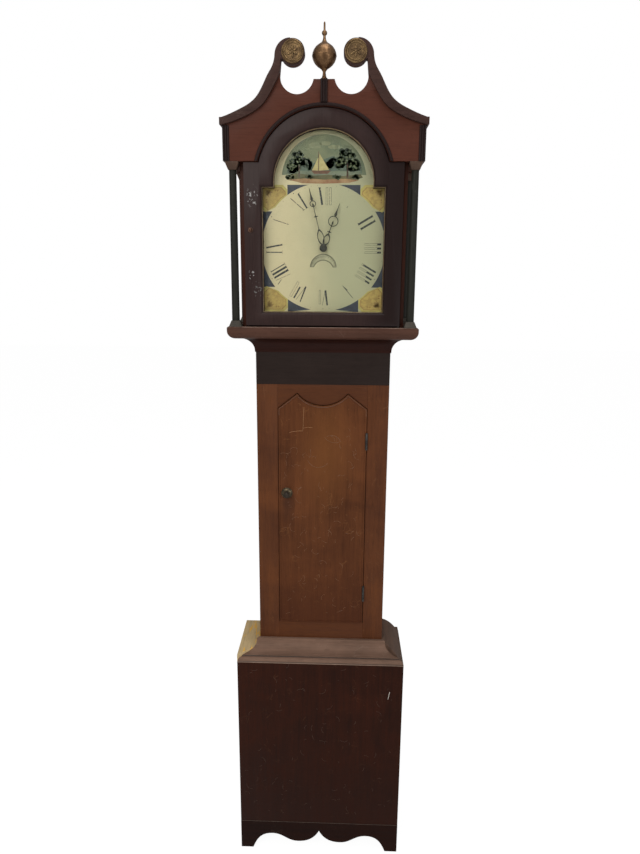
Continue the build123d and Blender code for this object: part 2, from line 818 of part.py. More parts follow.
def reeds(middle_x, z_low, z_high, ground, height):
    """A strip of upright half-round reeds on the frieze."""
    half = reed_count * reed_width / 2
    plate_front = ground - height + reed_round
    block(middle_x - half, middle_x + half, plate_front, ground, z_low, z_high)
    for index in range(reed_count):
        reed_x = middle_x + (index - (reed_count - 1) / 2) * reed_width
        with BuildSketch(Plane.XY.offset(z_low)) as reed:
            with Locations((reed_x, plate_front)):
                Ellipse(reed_width * reed_share, reed_round)
        extrude(reed.sketch, amount=z_high - z_low)
    block(middle_x - half, middle_x + half, ground, ground + 2 * reed_round, z_low, z_high, Mode.SUBTRACT)


bead_outer = frieze_arch_radius + arch_bead_width
reed_strip_x = frieze_half - reed_count * reed_width / 2

with BuildPart() as arch_bead:
    with BuildSketch(front_plane(frieze_front)) as bead_ring:
        with Locations((0, arch_centre_z)):
            Circle(bead_outer)
            Circle(frieze_arch_radius, mode=Mode.SUBTRACT)
        with Locations((0, frieze_bottom - bead_outer)):
            Rectangle(3 * bead_outer, 2 * bead_outer, mode=Mode.SUBTRACT)
    extrude(amount=arch_bead_height)
    bead_edges = arch_bead.faces().sort_by(Axis.Y)[0].edges().filter_by(GeomType.CIRCLE)
    fillet(bead_edges, arch_bead_height * 0.8)

with BuildPart() as right_reeds:
    reeds(reed_strip_x, frieze_bottom, cornice_bottom, frieze_front, corner_reed_height)

with BuildPart() as left_reeds:
    reeds(-reed_strip_x, frieze_bottom, cornice_bottom, frieze_front, corner_reed_height)

with BuildPart() as keystone_reeds:
    reeds(0, arch_centre_z + bead_outer, pediment_block_top, frieze_front, keystone_reed_height)

keep_group([arch_bead, right_reeds, left_reeds, keystone_reeds], "frieze_beads")

with BuildPart() as swan_neck_right:
    with BuildSketch(front_plane(frieze_front)) as neck:
        with BuildLine():
            neck_end = frieze_half + cornice_side_projection
            Polyline((frieze_half, cornice_bottom), (neck_end, cornice_bottom), (neck_end, cornice_top),
                     (frieze_half, cornice_top))
            Spline((frieze_half, cornice_top), *sweep_points, sweep_end,
                   tangents=[(-1, 0.3), (-0.1, 1)])
            ThreePointArc(sweep_end, (scroll_x + scroll_45, scroll_z + scroll_45), scroll_top)
            Polyline(scroll_top, (scroll_x, scroll_under), (neck_inner_x - 3, scroll_under),
                     (neck_inner_x, neck_low_z))
            Spline((neck_inner_x, neck_low_z), *neck_points, (frieze_half, cornice_bottom),
                   tangents=[(0.15, -1), (1, -0.25)])
        make_face()
        with Locations((rosette_x, rosette_z)):
            Circle(scroll_end_radius)
    extrude(amount=swan_neck_projection)
keep(swan_neck_right, "swan_neck_right")

with BuildPart() as swan_neck_left:
    add(swan_neck_right.part)
    mirror(about=Plane.YZ, mode=Mode.REPLACE)
keep(swan_neck_left, "swan_neck_left")

with BuildPart() as rosettes:
    rosette_plane = front_plane(swan_neck_front, rosette_x, rosette_z)
    rod(rosette_x, rosette_z, rosette_front + rosette_thickness * 0.4, swan_neck_front, rosette_radius)
    with BuildSketch(rosette_plane) as rosette_rings:
        Circle(rosette_radius - 0.5)
        Circle(rosette_radius - 4, mode=Mode.SUBTRACT)
        Circle(rosette_radius - 9)
        Circle(rosette_radius - 11, mode=Mode.SUBTRACT)
    extrude(amount=rosette_thickness)
    with BuildSketch(rosette_plane) as rosette_flower:
        with PolarLocations(7, rosette_petals):
            Ellipse(3.6, 2.6)
        Circle(3)
    extrude(amount=rosette_thickness)
    mirror(about=Plane.YZ)
keep(rosettes, "rosettes")

finial_base = pediment_block_top
finial_top = finial_base + finial_height
ball_low = finial_base + 20.5
ball_high = ball_low + 2 * finial_radius
knop_low = ball_high + 13

with BuildPart() as finial:
    with BuildSketch(Plane(origin=(0, finial_y, 0), x_dir=(1, 0, 0), z_dir=(0, -1, 0))) as finial_half:
        with BuildLine():
            Polyline((0, finial_base), (7.5, finial_base), (7.5, finial_base + 2.5), (5.2, finial_base + 5),
                     (3.2, finial_base + 14), (3.2, ball_low + 0.4))
            ThreePointArc((3.2, ball_low + 0.4), (finial_radius, ball_low + finial_radius),
                          (3.2, ball_high - 0.4))
            Line((3.2, ball_high - 0.4), (2.8, knop_low))
            ThreePointArc((2.8, knop_low), (6, knop_low + 6), (2.2, knop_low + 12))
            Polyline((2.2, knop_low + 12), (1.6, finial_top - 1.5), (0, finial_top), (0, finial_base))
        make_face()
    revolve(axis=Axis((0, finial_y, 0), (0, 0, 1)))
keep(finial, "finial")

with BuildPart() as hood_roof:
    block(-hood_side_outer, hood_side_outer, mask_back, hood_back, hood_side_top,
          hood_side_top + hood_roof_thickness)
keep(hood_roof, "hood_roof")

column_places = [(x, y) for x in (column_x, -column_x) for y in (column_y, rear_column_y)]
column_bottom = hood_floor + column_base_height

with BuildPart() as column_shafts:
    for x, y in column_places:
        with Locations((x, y, (column_bottom + column_top) / 2)):
            Cone(column_radius, column_top_radius, column_top - column_bottom)
keep(column_shafts, "column_shafts")


def tapered_block(x, y, z_low, low_width, z_high, high_width):
    """A square block whose sides slope from one width to another."""
    with BuildSketch(Plane.XY.offset(z_low)) as low_square:
        with Locations((x, y)):
            Rectangle(low_width, low_width)
    with BuildSketch(Plane.XY.offset(z_high)) as high_square:
        with Locations((x, y)):
            Rectangle(high_width, high_width)
    loft([low_square.sketch, high_square.sketch])


with BuildPart() as column_capitals:
    for x, y in column_places:
        tapered_block(x, y, column_top, 2 * column_radius, frieze_bottom - column_abacus, column_block_width)
        half = column_block_width / 2
        block(x - half, x + half, y - half, y + half, frieze_bottom - column_abacus, frieze_bottom)
keep(column_capitals, "column_capitals")

with BuildPart() as column_bases:
    for x, y in column_places:
        half = column_block_width / 2
        block(x - half, x + half, y - half, y + half, hood_floor, hood_floor + column_abacus / 2)
        tapered_block(x, y, hood_floor + column_abacus / 2, column_block_width, column_bottom,
                      2 * column_radius + 1)
keep(column_bases, "column_bases")

# Hood door

with BuildPart() as hood_door_frame:
    door_shape = break_arch(hood_door_half, hood_door_bottom, hood_door_shoulder, hood_door_arch_radius,
                            arch_centre_z)
    extrude(front_plane(hood_door_back) * door_shape, amount=hood_door_thickness)
    extrude(front_plane(hood_door_back) * aperture(0), amount=hood_door_thickness, mode=Mode.SUBTRACT)
    front_edges = hood_door_frame.faces().sort_by(Axis.Y)[0].inner_wires()[0].edges()
    chamfer(front_edges, aperture_bevel)
    extrude(front_plane(hood_door_back) * aperture(glass_lap), amount=glass_rebate, mode=Mode.SUBTRACT)
    for z_low in (hood_door_bottom, hood_door_shoulder - pivot_pin_grip):
        post(pivot_pin_x, pivot_pin_y, z_low, z_low + pivot_pin_grip, pivot_pin_radius, Mode.SUBTRACT)
keep(hood_door_frame, "hood_door_frame")

with BuildPart() as hood_door_glass:
    extrude(front_plane(glass_front + glass_thickness) * aperture(glass_lap - glass_fit), amount=glass_thickness)
keep(hood_door_glass, "hood_door_glass")

with BuildPart() as hood_door_knob:
    rod(hood_knob_x, hood_knob_z, hood_door_front - hood_knob_neck, hood_door_front, hood_knob_radius * 0.5)
    rod(hood_knob_x, hood_knob_z, hood_door_front - 1.5, hood_door_front, hood_knob_radius * 1.4)
    with Locations((hood_knob_x, hood_door_front - hood_knob_neck, hood_knob_z)):
        Sphere(hood_knob_radius)
keep(hood_door_knob, "hood_door_knob")

with BuildPart() as hood_door_pivots:
    post(pivot_pin_x, pivot_pin_y, hood_floor - pivot_pin_depth, hood_door_bottom + pivot_pin_grip,
         pivot_pin_radius)
    post(pivot_pin_x, pivot_pin_y, hood_door_shoulder - pivot_pin_grip, frieze_bottom + pivot_pin_depth - 1,
         pivot_pin_radius)
keep(hood_door_pivots, "hood_door_pivots")

# Dial plate with its feet and the stud of the date disc
date_disc_front = dial_back + date_disc_gap
date_disc_back = date_disc_front + date_disc_thickness

with BuildPart() as dial_plate:
    dial_shape = break_arch(dial_half_width, dial_bottom, dial_shoulder, dial_arch_radius, dial_shoulder)
    extrude(front_plane(dial_back) * dial_shape, amount=dial_thickness)
    rod(0, dial_centre_z, dial_front, dial_back, dial_centre_hole, Mode.SUBTRACT)
    with BuildSketch(front_plane(dial_back)) as mouth:
        with Locations((0, mouth_outer_z)):
            Circle(mouth_outer_radius)
        with Locations((0, mouth_inner_z)):
            Circle(mouth_inner_radius, mode=Mode.SUBTRACT)
        with Locations((0, mouth_floor_z - mouth_outer_radius)):
            Rectangle(3 * mouth_outer_radius, 2 * mouth_outer_radius, mode=Mode.SUBTRACT)
    extrude(amount=dial_thickness, mode=Mode.SUBTRACT)
    for foot_z in (cage_floor + cage_plate_thickness / 2, cage_ceiling + cage_plate_thickness / 2):
        for foot_x in (dial_foot_x, -dial_foot_x):
            rod(foot_x, foot_z, dial_back, cage_front, dial_foot_radius)
            rod(foot_x, foot_z, dial_back, dial_back + 3, 2 * dial_foot_radius)
    rod(0, date_disc_z, dial_back, date_disc_back + 3, stud_radius)
    rod(0, date_disc_z, date_disc_back + end_gap, date_disc_back + 1.5, 2 * stud_radius)
keep(dial_plate, "dial_plate")

with BuildPart() as date_disc:
    rod(0, date_disc_z, date_disc_front, date_disc_back, date_disc_radius)
    rod(0, date_disc_z, date_disc_front, date_disc_back, stud_radius + running_gap, Mode.SUBTRACT)
keep(date_disc, "date_disc")

# Seatboard and movement cage
rope_hole = rope_radius + 5
strand_places = [(x, y) for x in (sprocket_radius, -sprocket_radius) for y in (going_rope_y, strike_rope_y)]

with BuildPart() as seatboard:
    block(-trunk_half, trunk_half, frame_back, backboard_front, cheek_top, cage_floor)
    for x, y in strand_places:
        post(x, y, cheek_top, cage_floor, rope_hole, Mode.SUBTRACT)
    block(-60, 60, pendulum_y - 8, backboard_front, cheek_top, cage_floor, Mode.SUBTRACT)
keep(seatboard, "seatboard")

stud_front = dial_front - minute_hand_standoff - 3.5

with BuildPart() as cage_plates:
    for z_low in (cage_floor, cage_ceiling):
        block(-cage_half_width, cage_half_width, cage_front, cage_back, z_low, z_low + cage_plate_thickness)
    for x, y in strand_places:
        post(x, y, cage_floor, cage_inside_floor, rope_hole, Mode.SUBTRACT)
    block(cage_post_x - 6, cage_half_width, weight_y - 6, weight_y + 6, cage_ceiling, cage_top, Mode.SUBTRACT)

with BuildPart() as cage_posts:
    for x in (cage_post_x, -cage_post_x):
        for y in (post_front_y, post_back_y):
            post(x, y, cage_inside_floor, cage_ceiling, cage_post_radius)
    rod(cage_post_x, hammer_arbor_z, post_front_y, post_back_y, pivot_radius + running_gap, Mode.SUBTRACT)

with BuildPart() as cage_bars:
    for bar_front in (cage_front, middle_bar_front, back_bar_front):
        block(-bar_half_width, bar_half_width, bar_front, bar_front + bar_thickness,
              cage_inside_floor, cage_ceiling)
    rod(0, great_z, cage_front, front_bar_back, great_arbor_radius + running_gap, Mode.SUBTRACT)
    for pivot_z in (great_z, second_z, escape_z):
        rod(0, pivot_z, middle_bar_front, middle_bar_back, pivot_radius + running_gap, Mode.SUBTRACT)
    for pivot_z in (second_z, escape_z, anchor_z):
        rod(0, pivot_z, cage_front, front_bar_back, pivot_radius + running_gap, Mode.SUBTRACT)
    rod(0, great_z, back_bar_front, cage_back, pivot_radius + running_gap, Mode.SUBTRACT)
    rod(0, anchor_z, middle_bar_front, cage_back, arbor_radius + 1.2, Mode.SUBTRACT)

with BuildPart() as centre_stud:
    rod(0, dial_centre_z, stud_front, cage_front, stud_radius)
    rod(0, dial_centre_z, cage_front - 4 + end_gap, cage_front, stud_flange_radius)
keep_group([cage_plates, cage_posts, cage_bars, centre_stud], "movement_cage")


def toothed_ring(teeth, root_radius, tip_radius, root_share, tip_share, first_angle):
    """Corner points of a toothed wheel. The shares are a tooth's width over the pitch, at root and tip."""
    pitch = 360 / teeth
    corners = []
    for index in range(teeth):
        middle = first_angle + index * pitch
        for radius, turn in ((root_radius, -root_share), (tip_radius, -tip_share),
                             (tip_radius, tip_share), (root_radius, root_share)):
            angle = radians(middle + turn * pitch / 2)
            corners.append((radius * cos(angle), radius * sin(angle)))
    return corners


def toothed_disc(corners, z, y_front, thickness):
    """A flat toothed wheel on the middle line at height z."""
    with BuildSketch(front_plane(y_front + thickness, 0, z)) as disc:
        with BuildLine():
            Polyline(*corners, close=True)
        make_face()
    extrude(disc.sketch, amount=thickness)


def crossed_out(z, y_front, thickness, hub_radius, rim_radius, spoke_width):
    """Open the windows between a wheel's four spokes."""
    with BuildSketch(front_plane(y_front + thickness, 0, z)) as windows:
        Circle(rim_radius)
        Circle(hub_radius, mode=Mode.SUBTRACT)
        Rectangle(2 * rim_radius, spoke_width, mode=Mode.SUBTRACT)
        Rectangle(spoke_width, 2 * rim_radius, mode=Mode.SUBTRACT)
    extrude(windows.sketch, amount=thickness, mode=Mode.SUBTRACT)


def wheel_teeth(teeth, module, first_angle):
    """Teeth of a wheel that drives a pinion."""
    radius = teeth * module / 2
    return toothed_ring(teeth, radius - 1.35 * module, radius + 0.9 * module, 0.44, 0.14, first_angle)


def pinion_leaves(leaves, module, first_angle):
    """Leaves of a pinion, with straight flanks."""
    radius = leaves * module / 2
    return toothed_ring(leaves, radius - 1.3 * module, radius + 0.6 * module, 0.26, 0.26, first_angle)


def sprocket(rope_y, z):
    """The grooved pulley that the rope runs over."""
    groove_bottom = sprocket_radius - rope_radius - rope_gap
    half_groove = rope_radius + rope_gap
    rod(0, z, rope_y - half_groove, rope_y + half_groove, groove_bottom)
    rod(0, z, rope_y - half_groove - sprocket_flange, rope_y - half_groove, sprocket_flange_radius)
    rod(0, z, rope_y + half_groove, rope_y + half_groove + sprocket_flange, sprocket_flange_radius)


motion_y = cage_front - 6.0
hour_y = cage_front - 12.0
great_y = cage_front + 12.0
second_y = cage_front + 30.0
escape_y = cage_front + 18.0
arbor_start = front_bar_back + end_gap
arbor_end = middle_bar_front - end_gap

with BuildPart() as great_wheel:
    rod(0, great_z, hour_y - 2, arbor_end, great_arbor_radius)
    rod(0, great_z, arbor_end, middle_bar_front + 2, pivot_radius)
    rod(0, great_z, arbor_start, great_y, great_arbor_radius * 1.8)
    toothed_disc(wheel_teeth(great_teeth, great_module, 90), great_z, great_y, wheel_thickness)
    crossed_out(great_z, great_y, wheel_thickness, 10, 37, 5)
    sprocket(going_rope_y, great_z)
    toothed_disc(wheel_teeth(motion_teeth, motion_module, 90), great_z, motion_y, thin_wheel_thickness)
    crossed_out(great_z, motion_y, thin_wheel_thickness, 7, 21, 3.5)
    toothed_disc(pinion_leaves(report_teeth, hour_module, 90), great_z, hour_y - 2, 6)
keep(great_wheel, "great_wheel")

with BuildPart() as second_wheel:
    rod(0, second_z, arbor_start, arbor_end, arbor_radius)
    rod(0, second_z, cage_front, middle_bar_back, pivot_radius)
    toothed_disc(pinion_leaves(second_leaves, great_module, 270 + 180 / second_leaves), second_z,
                 great_y - 2, wheel_thickness + 4)
    toothed_disc(wheel_teeth(second_teeth, second_module, 90), second_z, second_y, thin_wheel_thickness)
    crossed_out(second_z, second_y, thin_wheel_thickness, 7, 27, 4)
keep(second_wheel, "second_wheel")

escape_corners = []
for tooth in range(escape_teeth):
    tooth_angle = 360 / escape_teeth * tooth
    for radius, turn in ((escape_root_radius, -3.2), (escape_tip_radius, 1.2), (escape_tip_radius, 1.8),
                         (escape_root_radius, 2.2)):
        angle = radians(tooth_angle + turn)
        escape_corners.append((radius * cos(angle), radius * sin(angle)))

with BuildPart() as escape_wheel:
    rod(0, escape_z, arbor_start, arbor_end, pivot_radius)
    rod(0, escape_z, cage_front, middle_bar_back, pivot_radius)
    toothed_disc(pinion_leaves(escape_leaves, second_module, 270 + 180 / escape_leaves), escape_z,
                 second_y - 2, thin_wheel_thickness + 4)
    toothed_disc(escape_corners, escape_z, escape_y, thin_wheel_thickness)
    crossed_out(escape_z, escape_y, thin_wheel_thickness, 5, 15, 3)
    rod(0, escape_z, escape_y - 1.5, escape_y + thin_wheel_thickness + 1.5, 3.5)
keep(escape_wheel, "escape_wheel")

cock_front = cage_back + 2.0
cock_bridge = cage_back + 8.0
cock_back = pendulum_y + 7.0
crutch_y = cage_back + 4.5
anchor_y = escape_y + thin_wheel_thickness / 2 - anchor_thickness / 2

with BuildPart() as anchor:
    rod(0, anchor_z, arbor_start, cock_bridge - end_gap, arbor_radius)
    rod(0, anchor_z, cage_front, cock_bridge + 3, pivot_radius)
    with BuildSketch(front_plane(anchor_y + anchor_thickness, 0, anchor_z)) as anchor_arms:
        Circle(5)
        with BuildLine():
            Polyline((0, 5), (14, -3.5), (21, -12.5), (18.5, -15.9), (16.9, -13.8), (13, -9.4), (0, -4),
                     close=True)
        make_face()
        mirror(about=Plane.YZ)
    extrude(amount=anchor_thickness)
    rod(0, anchor_z, crutch_y - 1.5, crutch_y + 1.5, 4)
    post(0, crutch_y, anchor_z - crutch_drop, anchor_z, 1.2)
    block(-6, 6, crutch_y - 1.5, pendulum_y + 4, anchor_z - crutch_drop - 4, anchor_z - crutch_drop)
    block(-pendulum_rod_radius - rope_gap, pendulum_rod_radius + rope_gap,
          pendulum_y - pendulum_rod_radius - 1, pendulum_y + 4,
          anchor_z - crutch_drop - 4, anchor_z - crutch_drop, Mode.SUBTRACT)
keep(anchor, "anchor")

cock_top = anchor_z + 2.0
cock_low = anchor_z - 8.0
slot_front = pendulum_y - suspension_width / 2 - 0.5

with BuildPart() as pendulum_cock:
    block(-16, 16, cage_back, cock_front, cock_low, cock_top + 4)
    rod(0, anchor_z, cage_back, cock_front, arbor_radius + 1.2, Mode.SUBTRACT)
    for x_low in (-16, 12):
        block(x_low, x_low + 4, cock_front, cock_bridge, cock_low, cock_top)
    block(-16, 16, cock_bridge, cock_back, cock_low, cock_top)
    rod(0, anchor_z, cock_bridge, cock_bridge + 3.5, pivot_radius + running_gap, Mode.SUBTRACT)
    block(-1.2, 1.2, slot_front, cock_back, cock_low, cock_top, Mode.SUBTRACT)
keep(pendulum_cock, "pendulum_cock")

suspension_pin_z = cock_top + rope_gap + suspension_pin_radius
rod_top = anchor_z - suspension_length
bob_z = anchor_z - bob_drop
nut_top = bob_z - bob_radius

with BuildPart() as pendulum_rod:
    block(-suspension_thickness / 2, suspension_thickness / 2, pendulum_y - suspension_width / 2,
          pendulum_y + suspension_width / 2, rod_top - 4, suspension_pin_z)
    crossbar(-5, 5, pendulum_y, suspension_pin_z, suspension_pin_radius)
    block(-3, 3, pendulum_y - suspension_width / 2, pendulum_y + suspension_width / 2, rod_top - 10, rod_top)
    post(0, pendulum_y, nut_top - rating_nut_height - 10, rod_top - 10, pendulum_rod_radius)
    post(0, pendulum_y, nut_top - rating_nut_height, nut_top, rating_nut_radius)
keep(pendulum_rod, "pendulum_rod")

bob_rise = (bob_thickness - bob_edge) / 2
bob_curve = (bob_radius ** 2 + bob_rise ** 2) / (2 * bob_rise)
bob_middle = bob_thickness / 2 - bob_curve + sqrt(bob_curve ** 2 - bob_radius ** 2 / 4)

with BuildPart() as pendulum_bob:
    with BuildSketch(Plane(origin=(0, pendulum_y, bob_z), x_dir=(1, 0, 0), z_dir=(0, 0, 1))) as bob_half:
        with BuildLine():
            Line((0, -bob_thickness / 2), (0, bob_thickness / 2))
            ThreePointArc((0, bob_thickness / 2), (bob_radius / 2, bob_middle), (bob_radius, bob_edge / 2))
            Line((bob_radius, bob_edge / 2), (bob_radius, -bob_edge / 2))
            ThreePointArc((bob_radius, -bob_edge / 2), (bob_radius / 2, -bob_middle), (0, -bob_thickness / 2))
        make_face()
    revolve(axis=Axis((0, pendulum_y, bob_z), (0, 1, 0)))
    post(0, pendulum_y, bob_z - bob_radius, bob_z + bob_radius, pendulum_rod_radius + running_gap,
         Mode.SUBTRACT)
keep(pendulum_bob, "pendulum_bob")

# Motion work and hands
minute_back = dial_front - minute_hand_standoff
minute_front = minute_back - hand_thickness
hour_back = dial_front - hour_hand_standoff
hour_front = hour_back - hand_thickness

with BuildPart() as cannon_wheel:
    toothed_disc(wheel_teeth(cannon_teeth, motion_module, 270 + 180 / cannon_teeth), dial_centre_z, motion_y,
                 thin_wheel_thickness)
    rod(0, dial_centre_z, minute_front, motion_y + thin_wheel_thickness, cannon_pipe_radius)
    rod(0, dial_centre_z, minute_front, motion_y + thin_wheel_thickness, stud_radius + running_gap,
        Mode.SUBTRACT)
keep(cannon_wheel, "cannon_wheel")

with BuildPart() as hour_wheel:
    toothed_disc(wheel_teeth(hour_teeth, hour_module, 270 + 180 / hour_teeth), dial_centre_z, hour_y,
                 thin_wheel_thickness)
    crossed_out(dial_centre_z, hour_y, thin_wheel_thickness, 8, 23, 3.5)
    rod(0, dial_centre_z, hour_front, hour_y + thin_wheel_thickness, hour_pipe_radius)
    rod(0, dial_centre_z, hour_front, hour_y + thin_wheel_thickness, cannon_pipe_radius + running_gap,
        Mode.SUBTRACT)
keep(hour_wheel, "hour_wheel")


def hand_outline(length, ring_distance, ring_radius, cross_distance, loop_end):
    """Draw a pierced hand that points up: a loop, a cross, a ring and a leaf-shaped point."""
    half_line = hand_line / 2
    for bulge, start, end, cut in ((8.0, 4.0, loop_end, Mode.ADD),
                                   (8.0 - hand_line, 10.0, loop_end - 5, Mode.SUBTRACT)):
        middle = (start + end) / 2
        with BuildLine() as lens:
            ThreePointArc((0, start), (bulge, middle), (0, end))
            ThreePointArc((0, end), (-bulge, middle), (0, start))
        make_face(lens.edges(), mode=cut)
    ring_low = ring_distance - ring_radius
    ring_high = ring_distance + ring_radius
    stem_length = ring_low - loop_end + 4
    with Locations((0, loop_end - 3 + stem_length / 2)):
        Rectangle(hand_line, stem_length)
    with Locations((0, cross_distance)):
        Rectangle(10, hand_line)
        Circle(2.2)
    with Locations((0, ring_distance)):
        Circle(ring_radius)
        Circle(ring_radius - hand_line, mode=Mode.SUBTRACT)
    with BuildLine() as bud:
        Polyline((-half_line, ring_low + 1), (-2, ring_distance - ring_radius * 0.3), (0, ring_distance + 2),
                 (2, ring_distance - ring_radius * 0.3), (half_line, ring_low + 1), close=True)
    make_face(bud.edges())
    with BuildLine() as leaf:
        Polyline((-1.2, ring_high - 1), (-3.2, ring_high + 3), (-1.1, ring_high + 14), (-0.5, length),
                 (0.5, length), (1.1, ring_high + 14), (3.2, ring_high + 3), (1.2, ring_high - 1), close=True)
    make_face(leaf.edges())


with BuildPart() as hour_hand:
    with BuildSketch(front_plane(hour_back, 0, dial_centre_z, hour_hand_angle)) as hour_shape:
        hand_outline(hour_hand_length, hour_ring_distance, hour_ring_radius, hour_cross_distance, hour_loop_end)
        Circle(hand_boss_radius)
        Circle(hour_pipe_radius, mode=Mode.SUBTRACT)
    extrude(amount=hand_thickness)
keep(hour_hand, "hour_hand")

with BuildPart() as minute_hand:
    with BuildSketch(front_plane(minute_back, 0, dial_centre_z, minute_hand_angle)) as minute_shape:
        hand_outline(minute_hand_length, minute_ring_distance, minute_ring_radius, minute_cross_distance,
                     minute_loop_end)
        Circle(hand_boss_radius)
        Circle(cannon_pipe_radius, mode=Mode.SUBTRACT)
    extrude(amount=hand_thickness)
    rod(0, dial_centre_z, minute_front - 1.2, minute_front, hand_boss_radius * 0.6)
    rod(0, dial_centre_z, minute_front - 1.2, minute_front, stud_radius + running_gap, Mode.SUBTRACT)
keep(minute_hand, "minute_hand")

# Striking: rope wheel with its pins, hammer, bell
strike_y = back_bar_front - 6.0

with BuildPart() as strike_great_wheel:
    rod(0, great_z, middle_bar_back + end_gap, back_bar_front - end_gap, great_arbor_radius)
    rod(0, great_z, back_bar_front - end_gap, cage_back, pivot_radius)
    rod(0, great_z, middle_bar_back - 1.5, middle_bar_back + end_gap, pivot_radius)
    sprocket(strike_rope_y, great_z)
    toothed_disc(wheel_teeth(great_teeth, great_module, 90), great_z, strike_y, wheel_thickness)
    crossed_out(great_z, strike_y, wheel_thickness, 10, 33, 5)
    for index in range(strike_pins):
        pin_angle = radians(360 / strike_pins * index)
        rod(strike_pin_circle * cos(pin_angle), great_z + strike_pin_circle * sin(pin_angle),
            strike_y - 3, strike_y, 1.2)
keep(strike_great_wheel, "strike_great_wheel")

bell_rim_z = cage_top + bell_lift
bell_crown_z = bell_rim_z + bell_height

with BuildPart() as bell:
    with BuildSketch(Plane(origin=(0, weight_y, 0), x_dir=(1, 0, 0), z_dir=(0, -1, 0))) as bell_half:
        with BuildLine():
            inner_radius = bell_radius - bell_wall
            inner_crown = bell_crown_z - bell_wall
            Polyline((bell_flat_radius, bell_crown_z), (0, bell_crown_z), (0, inner_crown),
                     (bell_flat_radius, inner_crown))
            Spline((bell_flat_radius, inner_crown), (inner_radius * 0.72, bell_rim_z + bell_height * 0.62),
                   (inner_radius, bell_rim_z), tangents=[(1, 0), (0.1, -1)])
            Line((inner_radius, bell_rim_z), (bell_radius, bell_rim_z))
            Spline((bell_radius, bell_rim_z), (bell_radius * 0.74, bell_rim_z + bell_height * 0.67),
                   (bell_flat_radius, bell_crown_z), tangents=[(-0.1, 1), (-1, 0)])
        make_face()
    revolve(axis=Axis((0, weight_y, 0), (0, 0, 1)))
    post(0, weight_y, bell_rim_z, bell_crown_z, bell_screw_radius, Mode.SUBTRACT)
keep(bell, "bell")

with BuildPart() as bell_stand:
    post(0, weight_y, cage_top, bell_crown_z - bell_wall, bell_stand_radius)
    post(0, weight_y, bell_crown_z - bell_wall, bell_crown_z + 6, bell_screw_radius)
    post(0, weight_y, bell_crown_z, bell_crown_z + 4, 2.4 * bell_screw_radius)
    post(0, weight_y, cage_top, cage_top + 3, 2.5 * bell_stand_radius)
keep(bell_stand, "bell_stand")

hammer_head_z = bell_rim_z + 6
head_start = bell_radius + hammer_gap
arm_half = 2.0

with BuildPart() as hammer:
    rod(cage_post_x, hammer_arbor_z, post_front_y + cage_post_radius + 0.5,
        post_back_y - cage_post_radius - 0.5, arbor_radius)
    rod(cage_post_x, hammer_arbor_z, post_front_y + cage_post_radius - 2,
        post_back_y - cage_post_radius + 2, pivot_radius)
    with BuildSketch(front_plane(weight_y + arm_half)) as hammer_arm:
        with BuildLine():
            Polyline((cage_post_x - 3, hammer_arbor_z - 3), (cage_post_x + 3, hammer_arbor_z - 3),
                     (head_start + 10, hammer_head_z), (head_start + 5, hammer_head_z), close=True)
        make_face()
    extrude(amount=2 * arm_half)
    crossbar(head_start, head_start + hammer_head_length, weight_y, hammer_head_z, hammer_head_radius)
    with BuildSketch(front_plane(strike_y - 2.4)) as hammer_tail:
        with BuildLine():
            Polyline((cage_post_x - 3, hammer_arbor_z + 3), (cage_post_x + 3, hammer_arbor_z + 3),
                     (cage_post_x - 10, great_z + 34), (cage_post_x - 13, great_z + 34), close=True)
        make_face()
    extrude(amount=2.4)
keep(hammer, "hammer")

# Rope, weights and pulley

with BuildPart() as drive_rope:
    with BuildLine() as drive_path:
        left = -sprocket_radius
        right = sprocket_radius
        ThreePointArc((right, going_rope_y, great_z), (0, going_rope_y, great_z + sprocket_radius),
                      (left, going_rope_y, great_z))
        Line((left, going_rope_y, great_z), (left, going_rope_y, pulley_z))
        ThreePointArc((left, going_rope_y, pulley_z), (left, weight_y, pulley_z - pulley_radius),
                      (left, strike_rope_y, pulley_z))
        Line((left, strike_rope_y, pulley_z), (left, strike_rope_y, great_z))
        ThreePointArc((left, strike_rope_y, great_z), (0, strike_rope_y, great_z + sprocket_radius),
                      (right, strike_rope_y, great_z))
    with BuildSketch(Plane(origin=(right, going_rope_y, great_z), z_dir=(0, 0, 1))):
        Circle(rope_radius)
    sweep()
keep(drive_rope, "drive_rope")

with BuildPart() as slack_rope:
    with BuildLine() as slack_path:
        Line((right, going_rope_y, great_z), (right, going_rope_y, slack_bight_z))
        ThreePointArc((right, going_rope_y, slack_bight_z), (right, weight_y, slack_bight_z - pulley_radius),
                      (right, strike_rope_y, slack_bight_z))
        Line((right, strike_rope_y, slack_bight_z), (right, strike_rope_y, great_z))
    with BuildSketch(Plane(origin=(right, going_rope_y, great_z), z_dir=(0, 0, -1))):
        Circle(rope_radius)
    sweep()
keep(slack_rope, "slack_rope")

groove_radius = pulley_radius - rope_radius - rope_gap
pulley_half_groove = rope_radius + rope_gap
pulley_half_width = pulley_half_groove + sprocket_flange
pulley_flange_radius = pulley_radius + 4

with BuildPart() as weight_pulley:
    crossbar(left - pulley_half_groove, left + pulley_half_groove, weight_y, pulley_z, groove_radius)
    for flange_low in (left - pulley_half_width, left + pulley_half_groove):
        crossbar(flange_low, flange_low + sprocket_flange, weight_y, pulley_z, pulley_flange_radius)
    crossbar(left - pulley_half_width, left + pulley_half_width, weight_y, pulley_z, pulley_bore,
             Mode.SUBTRACT)
keep(weight_pulley, "weight_pulley")

weight_top = pulley_z - pulley_flange_radius - weight_hook_length
stirrup_inner = pulley_half_width + stirrup_gap
stirrup_outer = stirrup_inner + stirrup_thickness
stirrup_low = pulley_z - pulley_flange_radius - 8

